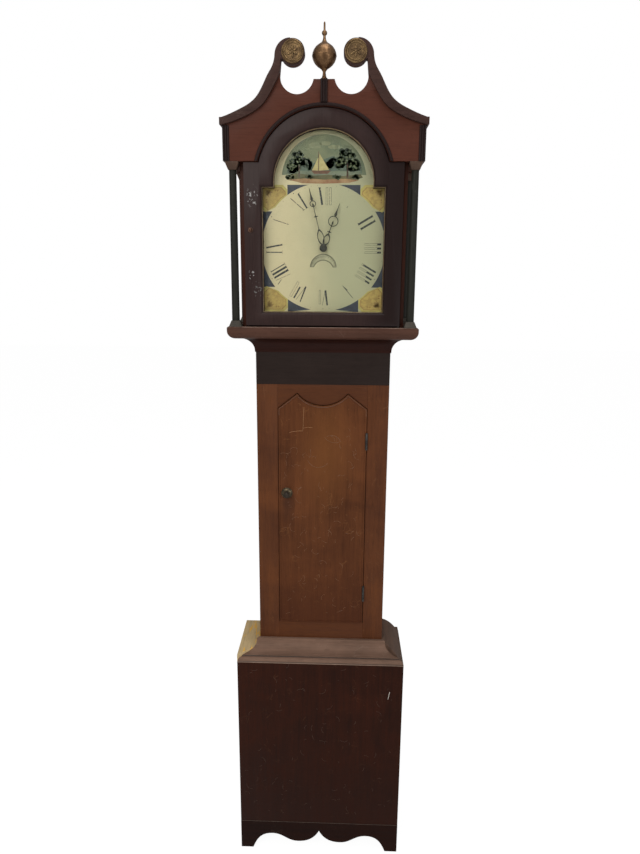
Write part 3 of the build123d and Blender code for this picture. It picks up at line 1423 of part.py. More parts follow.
with BuildPart() as driving_weight:
    post(left, weight_y, weight_top - weight_height, weight_top, weight_radius)
    fillet(driving_weight.edges().filter_by(GeomType.CIRCLE), 4)
    post(left, weight_y, weight_top - 2, stirrup_low, 4)
    block(left - stirrup_outer, left + stirrup_outer, weight_y - 5, weight_y + 5, stirrup_low - 3, stirrup_low)
    for x_low in (left - stirrup_outer, left + stirrup_inner):
        block(x_low, x_low + stirrup_thickness, weight_y - 5, weight_y + 5, stirrup_low, pulley_z + 6)
    crossbar(left - stirrup_outer - 2, left + stirrup_outer + 2, weight_y, pulley_z, pulley_bore - running_gap)
keep(driving_weight, "driving_weight")

ring_z = slack_bight_z - pulley_radius + rope_radius + rope_gap - (ring_radius - ring_wire_radius)

with BuildPart() as ring_weight:
    with Locations(Location((right, weight_y, ring_z), (90, 0, 0))):
        Torus(ring_radius, ring_wire_radius)
keep(ring_weight, "ring_weight")
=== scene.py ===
import json
import random
from math import atan2, cos, pi, radians, sin, sqrt

import bmesh
import bpy
from mathutils import Matrix, Vector

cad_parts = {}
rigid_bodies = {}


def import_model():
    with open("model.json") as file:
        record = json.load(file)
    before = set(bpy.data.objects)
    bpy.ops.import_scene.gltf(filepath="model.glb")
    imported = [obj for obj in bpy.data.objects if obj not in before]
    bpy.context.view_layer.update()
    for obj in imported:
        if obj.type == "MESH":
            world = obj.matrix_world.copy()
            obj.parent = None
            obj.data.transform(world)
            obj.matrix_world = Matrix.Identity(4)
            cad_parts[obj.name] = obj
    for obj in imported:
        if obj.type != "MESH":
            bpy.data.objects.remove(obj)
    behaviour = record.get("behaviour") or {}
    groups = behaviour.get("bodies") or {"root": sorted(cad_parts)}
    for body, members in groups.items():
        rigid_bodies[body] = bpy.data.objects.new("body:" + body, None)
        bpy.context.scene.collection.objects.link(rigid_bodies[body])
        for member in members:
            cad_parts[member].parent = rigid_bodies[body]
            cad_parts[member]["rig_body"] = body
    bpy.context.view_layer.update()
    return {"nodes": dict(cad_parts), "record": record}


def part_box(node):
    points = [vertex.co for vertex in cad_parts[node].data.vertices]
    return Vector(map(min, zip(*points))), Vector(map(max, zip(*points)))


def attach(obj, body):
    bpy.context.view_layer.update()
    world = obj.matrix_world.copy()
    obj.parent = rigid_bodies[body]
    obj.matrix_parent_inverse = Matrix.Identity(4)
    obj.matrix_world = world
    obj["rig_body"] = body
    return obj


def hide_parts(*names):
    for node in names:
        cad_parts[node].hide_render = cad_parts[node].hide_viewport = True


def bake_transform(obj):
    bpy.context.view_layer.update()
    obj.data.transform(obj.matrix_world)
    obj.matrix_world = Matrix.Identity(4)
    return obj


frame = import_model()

bl_info = {
    "name": "Longcase Clock",
    "version": (1, 0, 0),
    "blender": (4, 5, 0),
    "location": "3D View > Sidebar > Clock",
    "description": "Dresses a longcase clock: wood, brass, painted dial, hands, rope and weights",
    "category": "Object",
}

MM = 0.001

# Places taken from the frame
DIAL_LOW, DIAL_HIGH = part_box("dial_plate")
DIAL_FRONT = DIAL_LOW[1]
DIAL_CENTRE_Z = 1.718
DIAL_HALF = DIAL_HIGH[0]
DIAL_BOTTOM = DIAL_LOW[2]
DIAL_SHOULDER = DIAL_BOTTOM + 0.306
DOOR_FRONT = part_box("trunk_door_panel")[0][1]
GLASS_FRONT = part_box("hood_door_glass")[0][1]
HOOD_DOOR_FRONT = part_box("hood_door_frame")[0][1]
PLINTH_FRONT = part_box("plinth_front_board")[0][1]

# Forms of the clock that the boxes don't give, in metres
DOOR_OPENING = {"half": 0.145, "low": 1.566, "shoulder": 1.855, "radius": 0.118, "arch_z": 1.865}
FRIEZE_ARCH_Z, FRIEZE_ARCH_RADIUS = 1.868, 0.168
DOOR_TOP_CORNER, DOOR_TOP_SHOULDER = 1.300, 1.3165
DOOR_HOLLOW_Z, DOOR_HOLLOW_RADIUS = 1.409, 0.0868
MOUTH_UPPER_ARC = (1.6725, 0.0315, 3, 177, 40)
MOUTH_LOWER_ARC = (1.6646, 0.0254, 158.2, 21.8, 34)
DAY_RING_RADIUS = 0.0315
LINE = 0.0009
FLOOR_SIZE, FLOOR_TONE = 14.0, 0.86


# Sizes and colours that a user may change

def colour(name, description, value):
    """A colour property."""
    return bpy.props.FloatVectorProperty(
        name=name, description=description, default=value, size=3, subtype="COLOR", min=0.0, max=1.0)


def length(name, description, value):
    """A length property, in metres."""
    return bpy.props.FloatProperty(name=name, description=description, default=value, min=0.0, unit="LENGTH",
                                   precision=4)


class ClockColours(bpy.types.PropertyGroup):
    oak: colour("Trunk oak", "Waxed oak of the trunk", (0.128, 0.042, 0.014))
    oak_dark: colour("Trunk oak, dark grain", "Dark grain of the trunk", (0.062, 0.021, 0.010))
    plinth: colour("Plinth", "Dark stained board of the plinth", (0.036, 0.0078, 0.0026))
    plinth_dark: colour("Plinth, dark grain", "Dark grain of the plinth", (0.014, 0.0035, 0.0014))
    dusty: colour("Plinth moulding", "Dull, dusty wood of the plinth moulding", (0.225, 0.134, 0.094))
    bare: colour("Bare wood", "Unfinished wood of the left return", (0.66, 0.49, 0.26))
    throat: colour("Throat", "Near black board above the trunk", (0.027, 0.017, 0.014))
    cove: colour("Cove", "Dark red cove under the hood", (0.030, 0.009, 0.006))
    base: colour("Hood base", "Red-brown base moulding of the hood", (0.100, 0.046, 0.031))
    frieze: colour("Frieze", "Red-brown frieze of the hood", (0.094, 0.030, 0.018))
    neck: colour("Swan necks", "Dark brown mouldings of the pediment", (0.060, 0.030, 0.024))
    door: colour("Hood door", "Dark varnish of the hood door", (0.037, 0.020, 0.018))
    column: colour("Columns", "Dark green-black paint of the columns", (0.024, 0.024, 0.019))
    brass: colour("Brass", "Aged brass", (0.30, 0.185, 0.075))
    # The two dial grounds are painted light: the left one lit, the right one in painted shade.
    ground_left: colour("Dial ground, left", "Warm cream of the dial", (0.49, 0.405, 0.242))
    ground_right: colour("Dial ground, right", "Cooler cream of the dial", (0.315, 0.296, 0.178))
    ink: colour("Dial ink", "Black of the numerals", (0.012, 0.012, 0.014))
    gold: colour("Spandrel gold", "Gold of the dial corners", (0.40, 0.27, 0.062))
    navy: colour("Dial blue", "Dark blue between corners and circle", (0.014, 0.016, 0.026))


class ClockSizes(bpy.types.PropertyGroup):
    eased_edge: length("Eased edge", "Rounding of the boards' edges", 0.0012)
    circle_radius: length("Chapter circle", "Radius of the dial's white circle", 0.149)
    numeral_inner: length("Numerals, inner", "Radius at the feet of the numerals", 0.0995)
    numeral_outer: length("Numerals, outer", "Radius at the tops of the numerals", 0.1385)
    minute_radius: length("Minute dots", "Radius of the circle of minute dots", 0.1440)
    paint: length("Paint", "Thickness of one layer of paint on the dial", 0.00010)
    sight_bead: length("Sight bead", "Radius of the bead round the glass", 0.0011)
    rope: length("Rope", "Radius of the rope", 0.0030)


class ClockView(bpy.types.PropertyGroup):
    camera_height: length("Camera height", "Height of the lens above the floor", 1.647)
    camera_distance: length("Camera distance", "Distance of the lens in front of the clock's middle", 1.668)
    camera_side: length("Camera side", "Distance of the lens to the right", 0.048)
    pitch: bpy.props.FloatProperty(name="Pitch", description="Tilt of the camera below the level",
                                   default=radians(13.0), subtype="ANGLE")
    yaw: bpy.props.FloatProperty(name="Yaw", description="Turn of the camera to the left",
                                 default=radians(1.9), subtype="ANGLE")
    roll: bpy.props.FloatProperty(name="Roll", description="Turn of the camera about its own line of sight",
                                  default=radians(0.37), subtype="ANGLE")
    lens: bpy.props.FloatProperty(name="Lens", description="Focal length for a 36 mm sensor", default=27.13)
    light: bpy.props.FloatProperty(name="Light", description="Strength of all the lamps together", default=1.0)


def colours():
    return bpy.context.scene.clock_colours


def sizes():
    return bpy.context.scene.clock_sizes


def view():
    return bpy.context.scene.clock_view


# Shader building blocks

def rgba(value):
    """A colour with full alpha. A socket stays as it is."""
    return value if isinstance(value, bpy.types.NodeSocket) else (*value[:3], 1.0)


def shade(value, factor):
    """A colour made lighter or darker."""
    return tuple(min(channel * factor, 1.0) for channel in value[:3])


def plug(tree, source, socket):
    """Feed a socket from another one, or set it to a plain value."""
    if isinstance(source, bpy.types.NodeSocket):
        tree.links.new(source, socket)
    else:
        socket.default_value = source


def node(tree, kind, links, **values):
    """Add a shader node. Links map its inputs to other sockets or to plain values."""
    made = tree.nodes.new(kind)
    for key, value in values.items():
        setattr(made, key, value)
    for key, source in links.items():
        plug(tree, source, made.inputs[key])
    return made


def math(tree, operation, *terms):
    """One step of arithmetic on numbers."""
    return node(tree, "ShaderNodeMath", dict(enumerate(terms)), operation=operation).outputs[0]


def times(tree, first, second):
    """A product."""
    return math(tree, "MULTIPLY", first, second)


def weigh(tree, first, first_share, second, second_share):
    """The sum of two values, each times its share."""
    return math(tree, "ADD", times(tree, first, first_share), times(tree, second, second_share))


def vector(tree, operation, first, second=(0.0, 0.0, 0.0), output="Vector"):
    """One step of arithmetic on places."""
    return node(tree, "ShaderNodeVectorMath", {0: first, 1: second}, operation=operation).outputs[output]


def coordinate(tree, place, axis):
    """One coordinate of a place."""
    return node(tree, "ShaderNodeSeparateXYZ", {0: place}).outputs[axis]


def ramp(tree, value, low, high, start=0.0, end=1.0):
    """Map a value from low..high to start..end, with a soft shoulder."""
    return node(tree, "ShaderNodeMapRange", {"Value": value, "From Min": low, "From Max": high, "To Min": start,
                                             "To Max": end}, interpolation_type="SMOOTHSTEP").outputs["Result"]


def mix(tree, share, first, second):
    """Mix two colours."""
    return node(tree, "ShaderNodeMix", {0: share, 6: rgba(first), 7: rgba(second)}, data_type="RGBA").outputs[2]


def noise(tree, place, scale, detail=3.0, rough=0.55, distortion=0.0):
    """A noise value from 0 to 1."""
    return node(tree, "ShaderNodeTexNoise", {"Vector": place, "Scale": scale, "Detail": detail,
                                             "Roughness": rough, "Distortion": distortion}).outputs["Fac"]


def edges(tree, place, scale):
    """The distance to the nearest edge of a net of cells."""
    return node(tree, "ShaderNodeTexVoronoi", {"Vector": place, "Scale": scale},
                feature="DISTANCE_TO_EDGE").outputs["Distance"]


GROUPS = {}
VECTOR, COLOUR, NUMBER = "NodeSocketVector", "NodeSocketColor", "NodeSocketFloat"


def grouped(tree, links, name, inputs, outputs, build):
    """Place a shader node group, which is built once. Returns its outputs."""
    if name not in GROUPS:
        inside = GROUPS[name] = bpy.data.node_groups.new(name, "ShaderNodeTree")
        for label, kind, default in inputs:
            socket = inside.interface.new_socket(name=label, in_out="INPUT", socket_type=kind)
            if default is not None:
                socket.default_value = default
        for label, kind in outputs:
            inside.interface.new_socket(name=label, in_out="OUTPUT", socket_type=kind)
        entry, leave = inside.nodes.new("NodeGroupInput"), inside.nodes.new("NodeGroupOutput")
        for label, socket in build(inside, entry.outputs).items():
            inside.links.new(socket, leave.inputs[label])
    return node(tree, "ShaderNodeGroup", links, node_tree=GROUPS[name]).outputs


def build_grain(tree, given):
    """Long grain, open pores and broad patches, from a place that is already stretched along the board."""
    fine = noise(tree, given["Along"], 150.0, 4.0, 0.6, 0.2)
    pores = noise(tree, given["Along"], 620.0, 2.0, 0.5)
    figure = noise(tree, given["Along"], 34.0, 3.0, 0.5, 1.2)
    patch = noise(tree, given["Place"], 7.0, 3.0, 0.6, 0.4)
    fleck = noise(tree, given["Place"], 120.0, 3.0, 0.7)
    total = 0.5
    for value, strength in ((fine, "Fine"), (figure, "Figure"), (patch, "Patches")):
        total = math(tree, "MULTIPLY_ADD", math(tree, "SUBTRACT", value, 0.5), given[strength], total)
    total.node.use_clamp = True
    body = mix(tree, total, given["Dark"], given["Light"])
    pore = ramp(tree, pores, 0.33, 0.45, 0.55, 1.0)
    body = mix(tree, 0.45, body, mix(tree, pore, (0.0, 0.0, 0.0), body))
    speck = times(tree, ramp(tree, fleck, 0.66, 0.76), given["Specks"])
    return {"Color": mix(tree, speck, body, given["Speck Colour"]), "Height": weigh(tree, fine, 0.5, pore, 0.5),
            "Unevenness": ramp(tree, weigh(tree, patch, 0.6, fine, 0.4), 0.3, 0.7)}


def build_scuffs(tree, given):
    """Fine crossing scratches and dull rubbed patches."""
    place = given["Place"]
    bent = node(tree, "ShaderNodeTexNoise", {"Vector": place, "Scale": 9.0, "Detail": 2.0})
    line_one = ramp(tree, edges(tree, place, 19.0), 0.0, 0.012, 1.0, 0.0)
    twisted = vector(tree, "ADD", place, bent.outputs["Color"])
    line_two = ramp(tree, edges(tree, twisted, 12.0), 0.0, 0.016, 1.0, 0.0)
    where = ramp(tree, noise(tree, place, 24.0, 3.0, 0.6), 0.56, 0.66)
    return {"Scratch": times(tree, math(tree, "MAXIMUM", line_one, line_two), where),
            "Rub": ramp(tree, noise(tree, place, 11.0, 5.0, 0.7), 0.52, 0.72)}


def build_tarnish(tree, given):
    """Cloudy tarnish with darker hollows, for metal."""
    cloud = noise(tree, given["Place"], 55.0, 4.0, 0.65, 0.3)
    spots = noise(tree, given["Place"], 260.0, 3.0, 0.6)
    return {"Mask": ramp(tree, weigh(tree, cloud, 0.7, spots, 0.3), 0.38, 0.62), "Height": spots}


ALONG = {"Z": (1.0, 1.0, 0.045), "X": (0.045, 1.0, 1.0), "Y": (1.0, 0.045, 1.0)}
MATERIALS = {}


def new_material(name):
    """An empty material. Returns the material, its tree, its Principled shader and the place."""
    made = MATERIALS[name] = bpy.data.materials.new(name)
    made.use_nodes = True
    tree = made.node_tree
    tree.nodes.clear()
    shader = node(tree, "ShaderNodeBsdfPrincipled", {})
    node(tree, "ShaderNodeOutputMaterial", {0: shader.outputs[0]})
    return made, tree, shader, node(tree, "ShaderNodeTexCoord", {}).outputs["Object"]


def feed(tree, shader, sockets, height=None, relief=0.0, distance=0.0):
    """Feed the shader's sockets, and its normal from a height."""
    for name, source in sockets.items():
        plug(tree, source, shader.inputs[name])
    if height is not None:
        bump = node(tree, "ShaderNodeBump", {"Height": height, "Strength": relief, "Distance": distance})
        tree.links.new(bump.outputs[0], shader.inputs["Normal"])


def wood(name, light, dark, along="Z", rough=(0.42, 0.62), scratches=0.25, scratch_colour=None, fine=1.0,
         figure=0.8, patches=0.8, specks=0.25, speck_colour=None, coat=0.0, extra=None):
    """Wood with its grain along one axis, worn and scratched."""
    made, tree, shader, place = new_material(name)
    grain = grouped(
        tree, {"Place": place, "Along": vector(tree, "MULTIPLY", place, ALONG[along]), "Light": rgba(light),
               "Dark": rgba(dark), "Speck Colour": rgba(speck_colour or shade(light, 1.5)), "Fine": fine,
               "Figure": figure, "Patches": patches, "Specks": specks},
        "wood_grain",
        [("Place", VECTOR, None), ("Along", VECTOR, None), ("Light", COLOUR, None), ("Dark", COLOUR, None),
         ("Speck Colour", COLOUR, None), ("Fine", NUMBER, 1.0), ("Figure", NUMBER, 0.8),
         ("Patches", NUMBER, 0.8), ("Specks", NUMBER, 0.3)],
        [("Color", COLOUR), ("Height", NUMBER), ("Unevenness", NUMBER)], build_grain)
    scuffs = grouped(tree, {"Place": place}, "scuffs", [("Place", VECTOR, None)],
                     [("Scratch", NUMBER), ("Rub", NUMBER)], build_scuffs)
    tone = mix(tree, times(tree, scuffs["Scratch"], scratches), grain["Color"],
               scratch_colour or shade(light, 2.0))
    tone = mix(tree, times(tree, scuffs["Rub"], 0.16), tone, shade(light, 1.35))
    if extra:
        tone = extra(tree, place, tone)
    uneven = weigh(tree, grain["Unevenness"], 0.7, scuffs["Rub"], 0.3)
    feed(tree, shader, {"Base Color": tone, "Roughness": ramp(tree, uneven, 0.0, 1.0, *rough),
                        "Specular IOR Level": 0.10, "Coat Weight": coat, "Coat Roughness": 0.25},
         grain["Height"], 0.35, 0.0006)
    return made


def metal(name, bright, tarnished, rough=(0.28, 0.55), metallic=1.0, relief=0.15):
    """Metal with cloudy tarnish."""
    made, tree, shader, place = new_material(name)
    tarnish = grouped(tree, {"Place": place}, "tarnish", [("Place", VECTOR, None)],
                      [("Mask", NUMBER), ("Height", NUMBER)], build_tarnish)
    feed(tree, shader, {"Base Color": mix(tree, tarnish["Mask"], bright, tarnished), "Metallic": metallic,
                        "Roughness": ramp(tree, tarnish["Mask"], 0.0, 1.0, *rough)},
         tarnish["Height"], relief, 0.0003)
    return made


def paint(name, base, other, scale=40.0, contrast=0.6):
    """Old paint whose colour wanders between two tones."""
    made, tree, shader, place = new_material(name)
    wander = ramp(tree, noise(tree, place, scale, 4.0, 0.6), 0.5 - contrast / 2, 0.5 + contrast / 2)
    feed(tree, shader, {"Base Color": mix(tree, wander, base, other),
                        "Roughness": ramp(tree, wander, 0.0, 1.0, 0.35, 0.5)},
         noise(tree, place, scale * 8, 2.0), 0.1, 0.0002)
    return made


# Meshes

SLOTS = {row["node"]: row["material_slot"] for row in frame["record"]["subparts"]}


def link(name, data):
    """A new object in the scene."""
    made = bpy.data.objects.new(name, data)
    bpy.context.scene.collection.objects.link(made)
    return made


def finish_mesh(shape, name, host, material, smooth=True, sharp=35.0):
    """Turn a bmesh into a piece that rides with a CAD node."""
    mesh = bpy.data.meshes.new(name)
    shape.to_mesh(mesh)
    shape.free()
    piece = link(name, mesh)
    mesh.materials.append(material)
    if smooth:
        mesh.polygons.foreach_set("use_smooth", [True] * len(mesh.polygons))
        mesh.set_sharp_from_angle(angle=radians(sharp))
    body, slot = frame["nodes"][host]["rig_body"], SLOTS[host]
    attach(piece, body)
    return piece


def paint_nodes(material, *names):
    """Give CAD nodes a finished material."""
    for name in names:
        for slot in frame["nodes"][name].material_slots:
            slot.material = material


def eased(node_name, edge, material, segments=2):
    """A clean copy of a CAD node with its edges rounded, standing for the node."""
    shape = bmesh.new()
    shape.from_mesh(frame["nodes"][node_name].data)
    bmesh.ops.remove_doubles(shape, verts=shape.verts, dist=2e-6)
    bmesh.ops.dissolve_limit(shape, angle_limit=radians(0.6), verts=shape.verts, edges=shape.edges)
    piece = finish_mesh(shape, node_name + "_eased", node_name, material, sharp=180.0)
    rounding = piece.modifiers.new("eased_edges", "BEVEL")
    rounding.width = edge
    rounding.segments = segments
    rounding.limit_method = "ANGLE"
    rounding.angle_limit = radians(30.0)
    rounding.harden_normals = True
    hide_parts(node_name)


def lathe(name, profile, centre, host, material, axis=(0, -1, 0), steps=48, sharp=40.0):
    """Spin an outline of (radius, along) about an axis through the centre."""
    shape = bmesh.new()
    along = Vector(axis)
    corners = [shape.verts.new(Vector(centre) + Vector((radius, 0, 0)) + along * height)
               for radius, height in profile]
    sides = [shape.edges.new(pair) for pair in zip(corners, corners[1:])]
    bmesh.ops.spin(shape, geom=corners + sides, cent=centre, axis=axis, angle=2 * pi, steps=steps,
                   use_merge=True)
    bmesh.ops.remove_doubles(shape, verts=shape.verts, dist=1e-6)
    bmesh.ops.recalc_face_normals(shape, faces=shape.faces)
    return finish_mesh(shape, name, host, material, sharp=sharp)


def mm(points):
    """Points in millimetres, as metres."""
    return [tuple(value * MM for value in point) for point in points]


def box_frame(name):
    """A CAD node's lowest corner, highest corner and middle."""
    low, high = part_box(name)
    return low, high, [(low[k] + high[k]) / 2 for k in range(3)]


def arc(x, z, radius, start, end, steps):
    """Points on an arc. Angles run anticlockwise from the right, in degrees."""
    turns = [radians(start + (end - start) * index / steps) for index in range(steps + 1)]
    return [(x + radius * cos(turn), z + radius * sin(turn)) for turn in turns]


def disc(x, z, size, count):
    """Points round a small circle."""
    return [(x + size * cos(2 * pi * k / count), z + size * sin(2 * pi * k / count)) for k in range(count)]


def slab(shape, outline, front, thickness):
    """Add a flat plate with this (x, z) outline, from its front plane backwards."""
    face = shape.faces.new([shape.verts.new((x, front + thickness, z)) for x, z in outline])
    grown = bmesh.ops.extrude_face_region(shape, geom=[face])
    raised = [item for item in grown["geom"] if isinstance(item, bmesh.types.BMVert)]
    bmesh.ops.translate(shape, verts=raised, vec=(0, -thickness, 0))


def plates(name, outlines, front, thickness, host, material):
    """Several flat plates of one colour in one piece."""
    shape = bmesh.new()
    for outline in outlines:
        slab(shape, outline, front, thickness)
    bmesh.ops.recalc_face_normals(shape, faces=shape.faces)
    return finish_mesh(shape, name, host, material, smooth=False)


def evaluated(name, data):
    """The mesh that a curve or a text makes. The curve itself is removed."""
    drawn = link(name, data)
    bpy.context.view_layer.update()
    mesh = bpy.data.meshes.new_from_object(drawn.evaluated_get(bpy.context.evaluated_depsgraph_get()))
    bpy.data.objects.remove(drawn)
    bpy.data.curves.remove(data)
    return mesh


def wire(name, runs, radius, host, material, closed=False, resolution=1):
    """A thin round line through points, as a mesh. Runs is a list of point lists."""
    curve = bpy.data.curves.new(name, "CURVE")
    curve.dimensions = "3D"
    curve.bevel_depth = radius
    curve.bevel_resolution = resolution
    curve.use_fill_caps = True
    for points in runs:
        spline = curve.splines.new("POLY")
        spline.points.add(len(points) - 1)
        for point, place in zip(spline.points, points):
            point.co = (*place, 1.0)
        spline.use_cyclic_u = closed
    solid = evaluated(name + "_line", curve)
    shape = bmesh.new()
    shape.from_mesh(solid)
    bpy.data.meshes.remove(solid)
    bmesh.ops.remove_doubles(shape, verts=shape.verts, dist=1e-7)
    bmesh.ops.recalc_face_normals(shape, faces=shape.faces)
    return finish_mesh(shape, name, host, material)


def upright(runs, y):
    """Runs of (x, z) points, stood up in the plane at y."""
    return [[(x, y, z) for x, z in run] for run in runs]


def break_arch(half, low, shoulder, radius, arch_z, steps=40):
    """The outline of a rectangle with a round arch on top, as (x, z) points."""
    rise = shoulder - arch_z
    start = atan2(rise, sqrt(radius * radius - rise * rise))
    top = arc(0.0, arch_z, radius, start * 180 / pi, 180 - start * 180 / pi, steps)
    return [(-half, low), (half, low), (half, shoulder)] + top + [(-half, shoulder)]


def scratch_marks(name, seed, count, span, front, host, material):
    """Short curved scratches scattered over a flat face. Span is (left, right, low, high)."""
    chance = random.Random(seed)
    runs = []
    for _ in range(count):
        x, z = chance.uniform(span[0], span[1]), chance.uniform(span[2], span[3])
        bend, start = chance.uniform(0.004, 0.016), chance.uniform(0, 360)
        turn = chance.uniform(25, 110)
        reach = arc(0.0, 0.0, bend, start, start + turn, 8)
        runs.append([(x + across - reach[0][0], front, z + up - reach[0][1]) for across, up in reach])
    wire(name, runs, 0.0003, host, material)


# Layers that lie over a material: each takes the tree, the place and the colour under it

def nearness(tree, place, centre, spread, start, high, low):
    """A value that falls from high to low with the distance from a centre."""
    shifted = vector(tree, "SUBTRACT", place, centre)
    squeezed = vector(tree, "MULTIPLY", shifted, tuple(1.0 / part for part in spread))
    return ramp(tree, vector(tree, "LENGTH", squeezed, output="Value"), start, 1.0, high, low)


def flecks(centre, spread, tone, threshold, size):
    """Flecks of paint round one place."""
    def lay(tree, place, under):
        near = nearness(tree, place, centre, spread, 0.5, 1.0, 0.0)
        blot = ramp(tree, noise(tree, place, size, 3.0, 0.62), threshold, threshold + 0.03)
        return mix(tree, times(tree, blot, near), under, tone)
    return lay


def glow(centre, spread, tone, strength):
    """A soft patch of another tone round one place."""
    return lambda tree, place, under: mix(
        tree, nearness(tree, place, centre, spread, 0.0, strength, 0.0), under, tone)


def sink(axis, low, high, start, end, dark):
    """Let the colour sink towards a darker tone along one axis."""
    return lambda tree, place, under: mix(
        tree, ramp(tree, coordinate(tree, place, axis), low, high, start, end), under, dark)


def streaks(tone, threshold):
    """Golden streaks along bare wood."""
    def lay(tree, place, under):
        drawn = noise(tree, vector(tree, "MULTIPLY", place, (1.0, 0.12, 0.6)), 90.0, 4.0, 0.7, 0.8)
        return mix(tree, ramp(tree, drawn, threshold, threshold + 0.08), under, tone)
    return lay


def layered(*layers):
    """Several layers, one over the other."""
    def lay(tree, place, under):
        for layer in layers:
            under = layer(tree, place, under)
        return under
    return lay


# Case

class CLOCK_OT_case(bpy.types.Operator):
    """Dress the case: plinth, trunk frame, mouldings, throat and back"""
    bl_idname = "clock.case"
    bl_label = "Case"

    def execute(self, context):
        tint = colours()
        edge = sizes().eased_edge
        oak = wood("trunk_oak", tint.oak, tint.oak_dark, scratches=0.22, scratch_colour=(0.26, 0.13, 0.06),
                   fine=0.8, figure=0.6, patches=1.5, specks=0.6, speck_colour=(0.19, 0.09, 0.038))
        oak_rail = wood("trunk_oak_rail", shade(tint.oak, 0.82), shade(tint.oak_dark, 1.15), along="X",
                        scratches=0.1, figure=0.5)
        stain = wood("plinth_stain", tint.plinth, tint.plinth_dark, rough=(0.45, 0.66), scratches=0.3,
                     scratch_colour=(0.13, 0.06, 0.03), specks=0.8, speck_colour=(0.085, 0.030, 0.011),
                     figure=0.9, patches=1.6, extra=sink("Z", 0.09, 0.5, 0.55, 0.0, shade(tint.plinth, 0.55)))
        dark_stain = wood("apron_stain", shade(tint.plinth, 0.5), shade(tint.plinth_dark, 0.6), along="X",
                          rough=(0.5, 0.7), scratches=0.4, scratch_colour=(0.10, 0.06, 0.04))
        dusty = wood("dusty_moulding", tint.dusty, shade(tint.dusty, 0.55), along="X", rough=(0.5, 0.75),
                     scratches=0.3, scratch_colour=(0.36, 0.27, 0.21), figure=0.9, patches=1.8, specks=0.5)
        dusty_return = wood("dusty_return", shade(tint.dusty, 0.62), shade(tint.dusty, 0.3), along="Y",
                            rough=(0.5, 0.75), scratches=0.3, scratch_colour=(0.3, 0.22, 0.17))
        bare = wood("bare_wood", tint.bare, shade(tint.bare, 0.62), along="Y", rough=(0.65, 0.85), scratches=0.0,
                    extra=streaks((0.72, 0.42, 0.09), 0.55))
        black = wood("throat_stain", tint.throat, shade(tint.throat, 0.62), along="X", rough=(0.42, 0.6),
                     scratches=0.05, figure=0.3, patches=0.5, specks=0.05)
        cove = wood("cove_stain", tint.cove, shade(tint.cove, 0.6), along="X", rough=(0.3, 0.5), scratches=0.1)
        board = wood("back_board", (0.17, 0.10, 0.055), (0.07, 0.04, 0.024), rough=(0.7, 0.9), scratches=0.1,
                     figure=1.4, patches=1.2)
        for name, share, material in (
                ("trunk_stiles", 1.0, oak), ("trunk_side_boards", 1.0, oak), ("trunk_rails", 0.6, oak_rail),
                ("plinth_front_board", 1.0, stain), ("plinth_side_boards", 1.0, stain),
                ("throat_board", 0.6, black), ("plinth_moulding_front", 0.5, dusty),
                ("plinth_moulding_right", 0.5, dusty_return), ("plinth_moulding_left", 1.5, bare),
                ("backboard", 1.0, board), ("seatboard", 1.0, board)):
            eased(name, edge * share, material)
        paint_nodes(dark_stain, "bracket_apron")
        paint_nodes(cove, "throat_moulding")
        iron = metal("dark_iron", (0.07, 0.065, 0.06), (0.03, 0.026, 0.024), rough=(0.5, 0.75), metallic=0.6)
        paint_nodes(iron, "trunk_hinge_frame_leaves")
        self.lines()
        return {"FINISHED"}

    def lines(self):
        """Painted light on the plinth: a painted highlight along the fillet under its moulding, painted shade
        lines in two grooves of the moulding, a painted highlight along the apron's top edge, and scratches on its
        board.
        """
        host = "plinth_moulding_front"
        low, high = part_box(host)
        # Painted highlight: a light line where the fillet under the plinth moulding catches the light.
        worn = paint("fillet_highlight", (0.34, 0.25, 0.18), (0.17, 0.105, 0.075), scale=60.0)
        # Painted shade: dark lines in two grooves of the moulding, where shade falls.
        groove = paint("groove_painted_shade", (0.030, 0.018, 0.013), (0.055, 0.033, 0.024), scale=50.0)
        for name, inset, back, up, material in (("plinth_fillet_highlight", 0.001, 0.0006, 0.0012, worn),
                                                ("groove_145", 0.0118, 0.0118, 0.0145, groove),
                                                ("groove_32", 0.0016, 0.0016, 0.0032, groove)):
            y, z = low[1] + back, low[2] + up
            wire(name, [[(low[0] + inset, y, z), (high[0] - inset, y, z)]], LINE, host, material)
        low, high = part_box("bracket_apron")
        # Painted highlight: a light line along the apron's top edge, where it catches the light.
        apron_highlight_tone = paint("apron_top_highlight", (0.085, 0.052, 0.034), (0.03, 0.017, 0.011))
        y, z = low[1] + 0.0005, high[2] - 0.0008
        wire("apron_top_highlight", [[(low[0] + 0.002, y, z), (high[0] - 0.002, y, z)]], LINE, "bracket_apron", apron_highlight_tone)
        board = "plinth_front_board"
        marks = paint("plinth_scratch", (0.075, 0.036, 0.019), (0.045, 0.019, 0.010), scale=200.0)
        scratch_marks("plinth_marks", 11, 90, (-0.21, 0.21, 0.12, 0.60), PLINTH_FRONT + 0.0001, board, marks)
        white = paint("white_scratch", (0.62, 0.58, 0.52), (0.45, 0.40, 0.34), scale=200.0)
        wire("white_scratch", upright([[(0.1890, 0.510), (0.1908, 0.520), (0.1935, 0.533)]], PLINTH_FRONT),
             0.0008, board, white)


# Trunk door

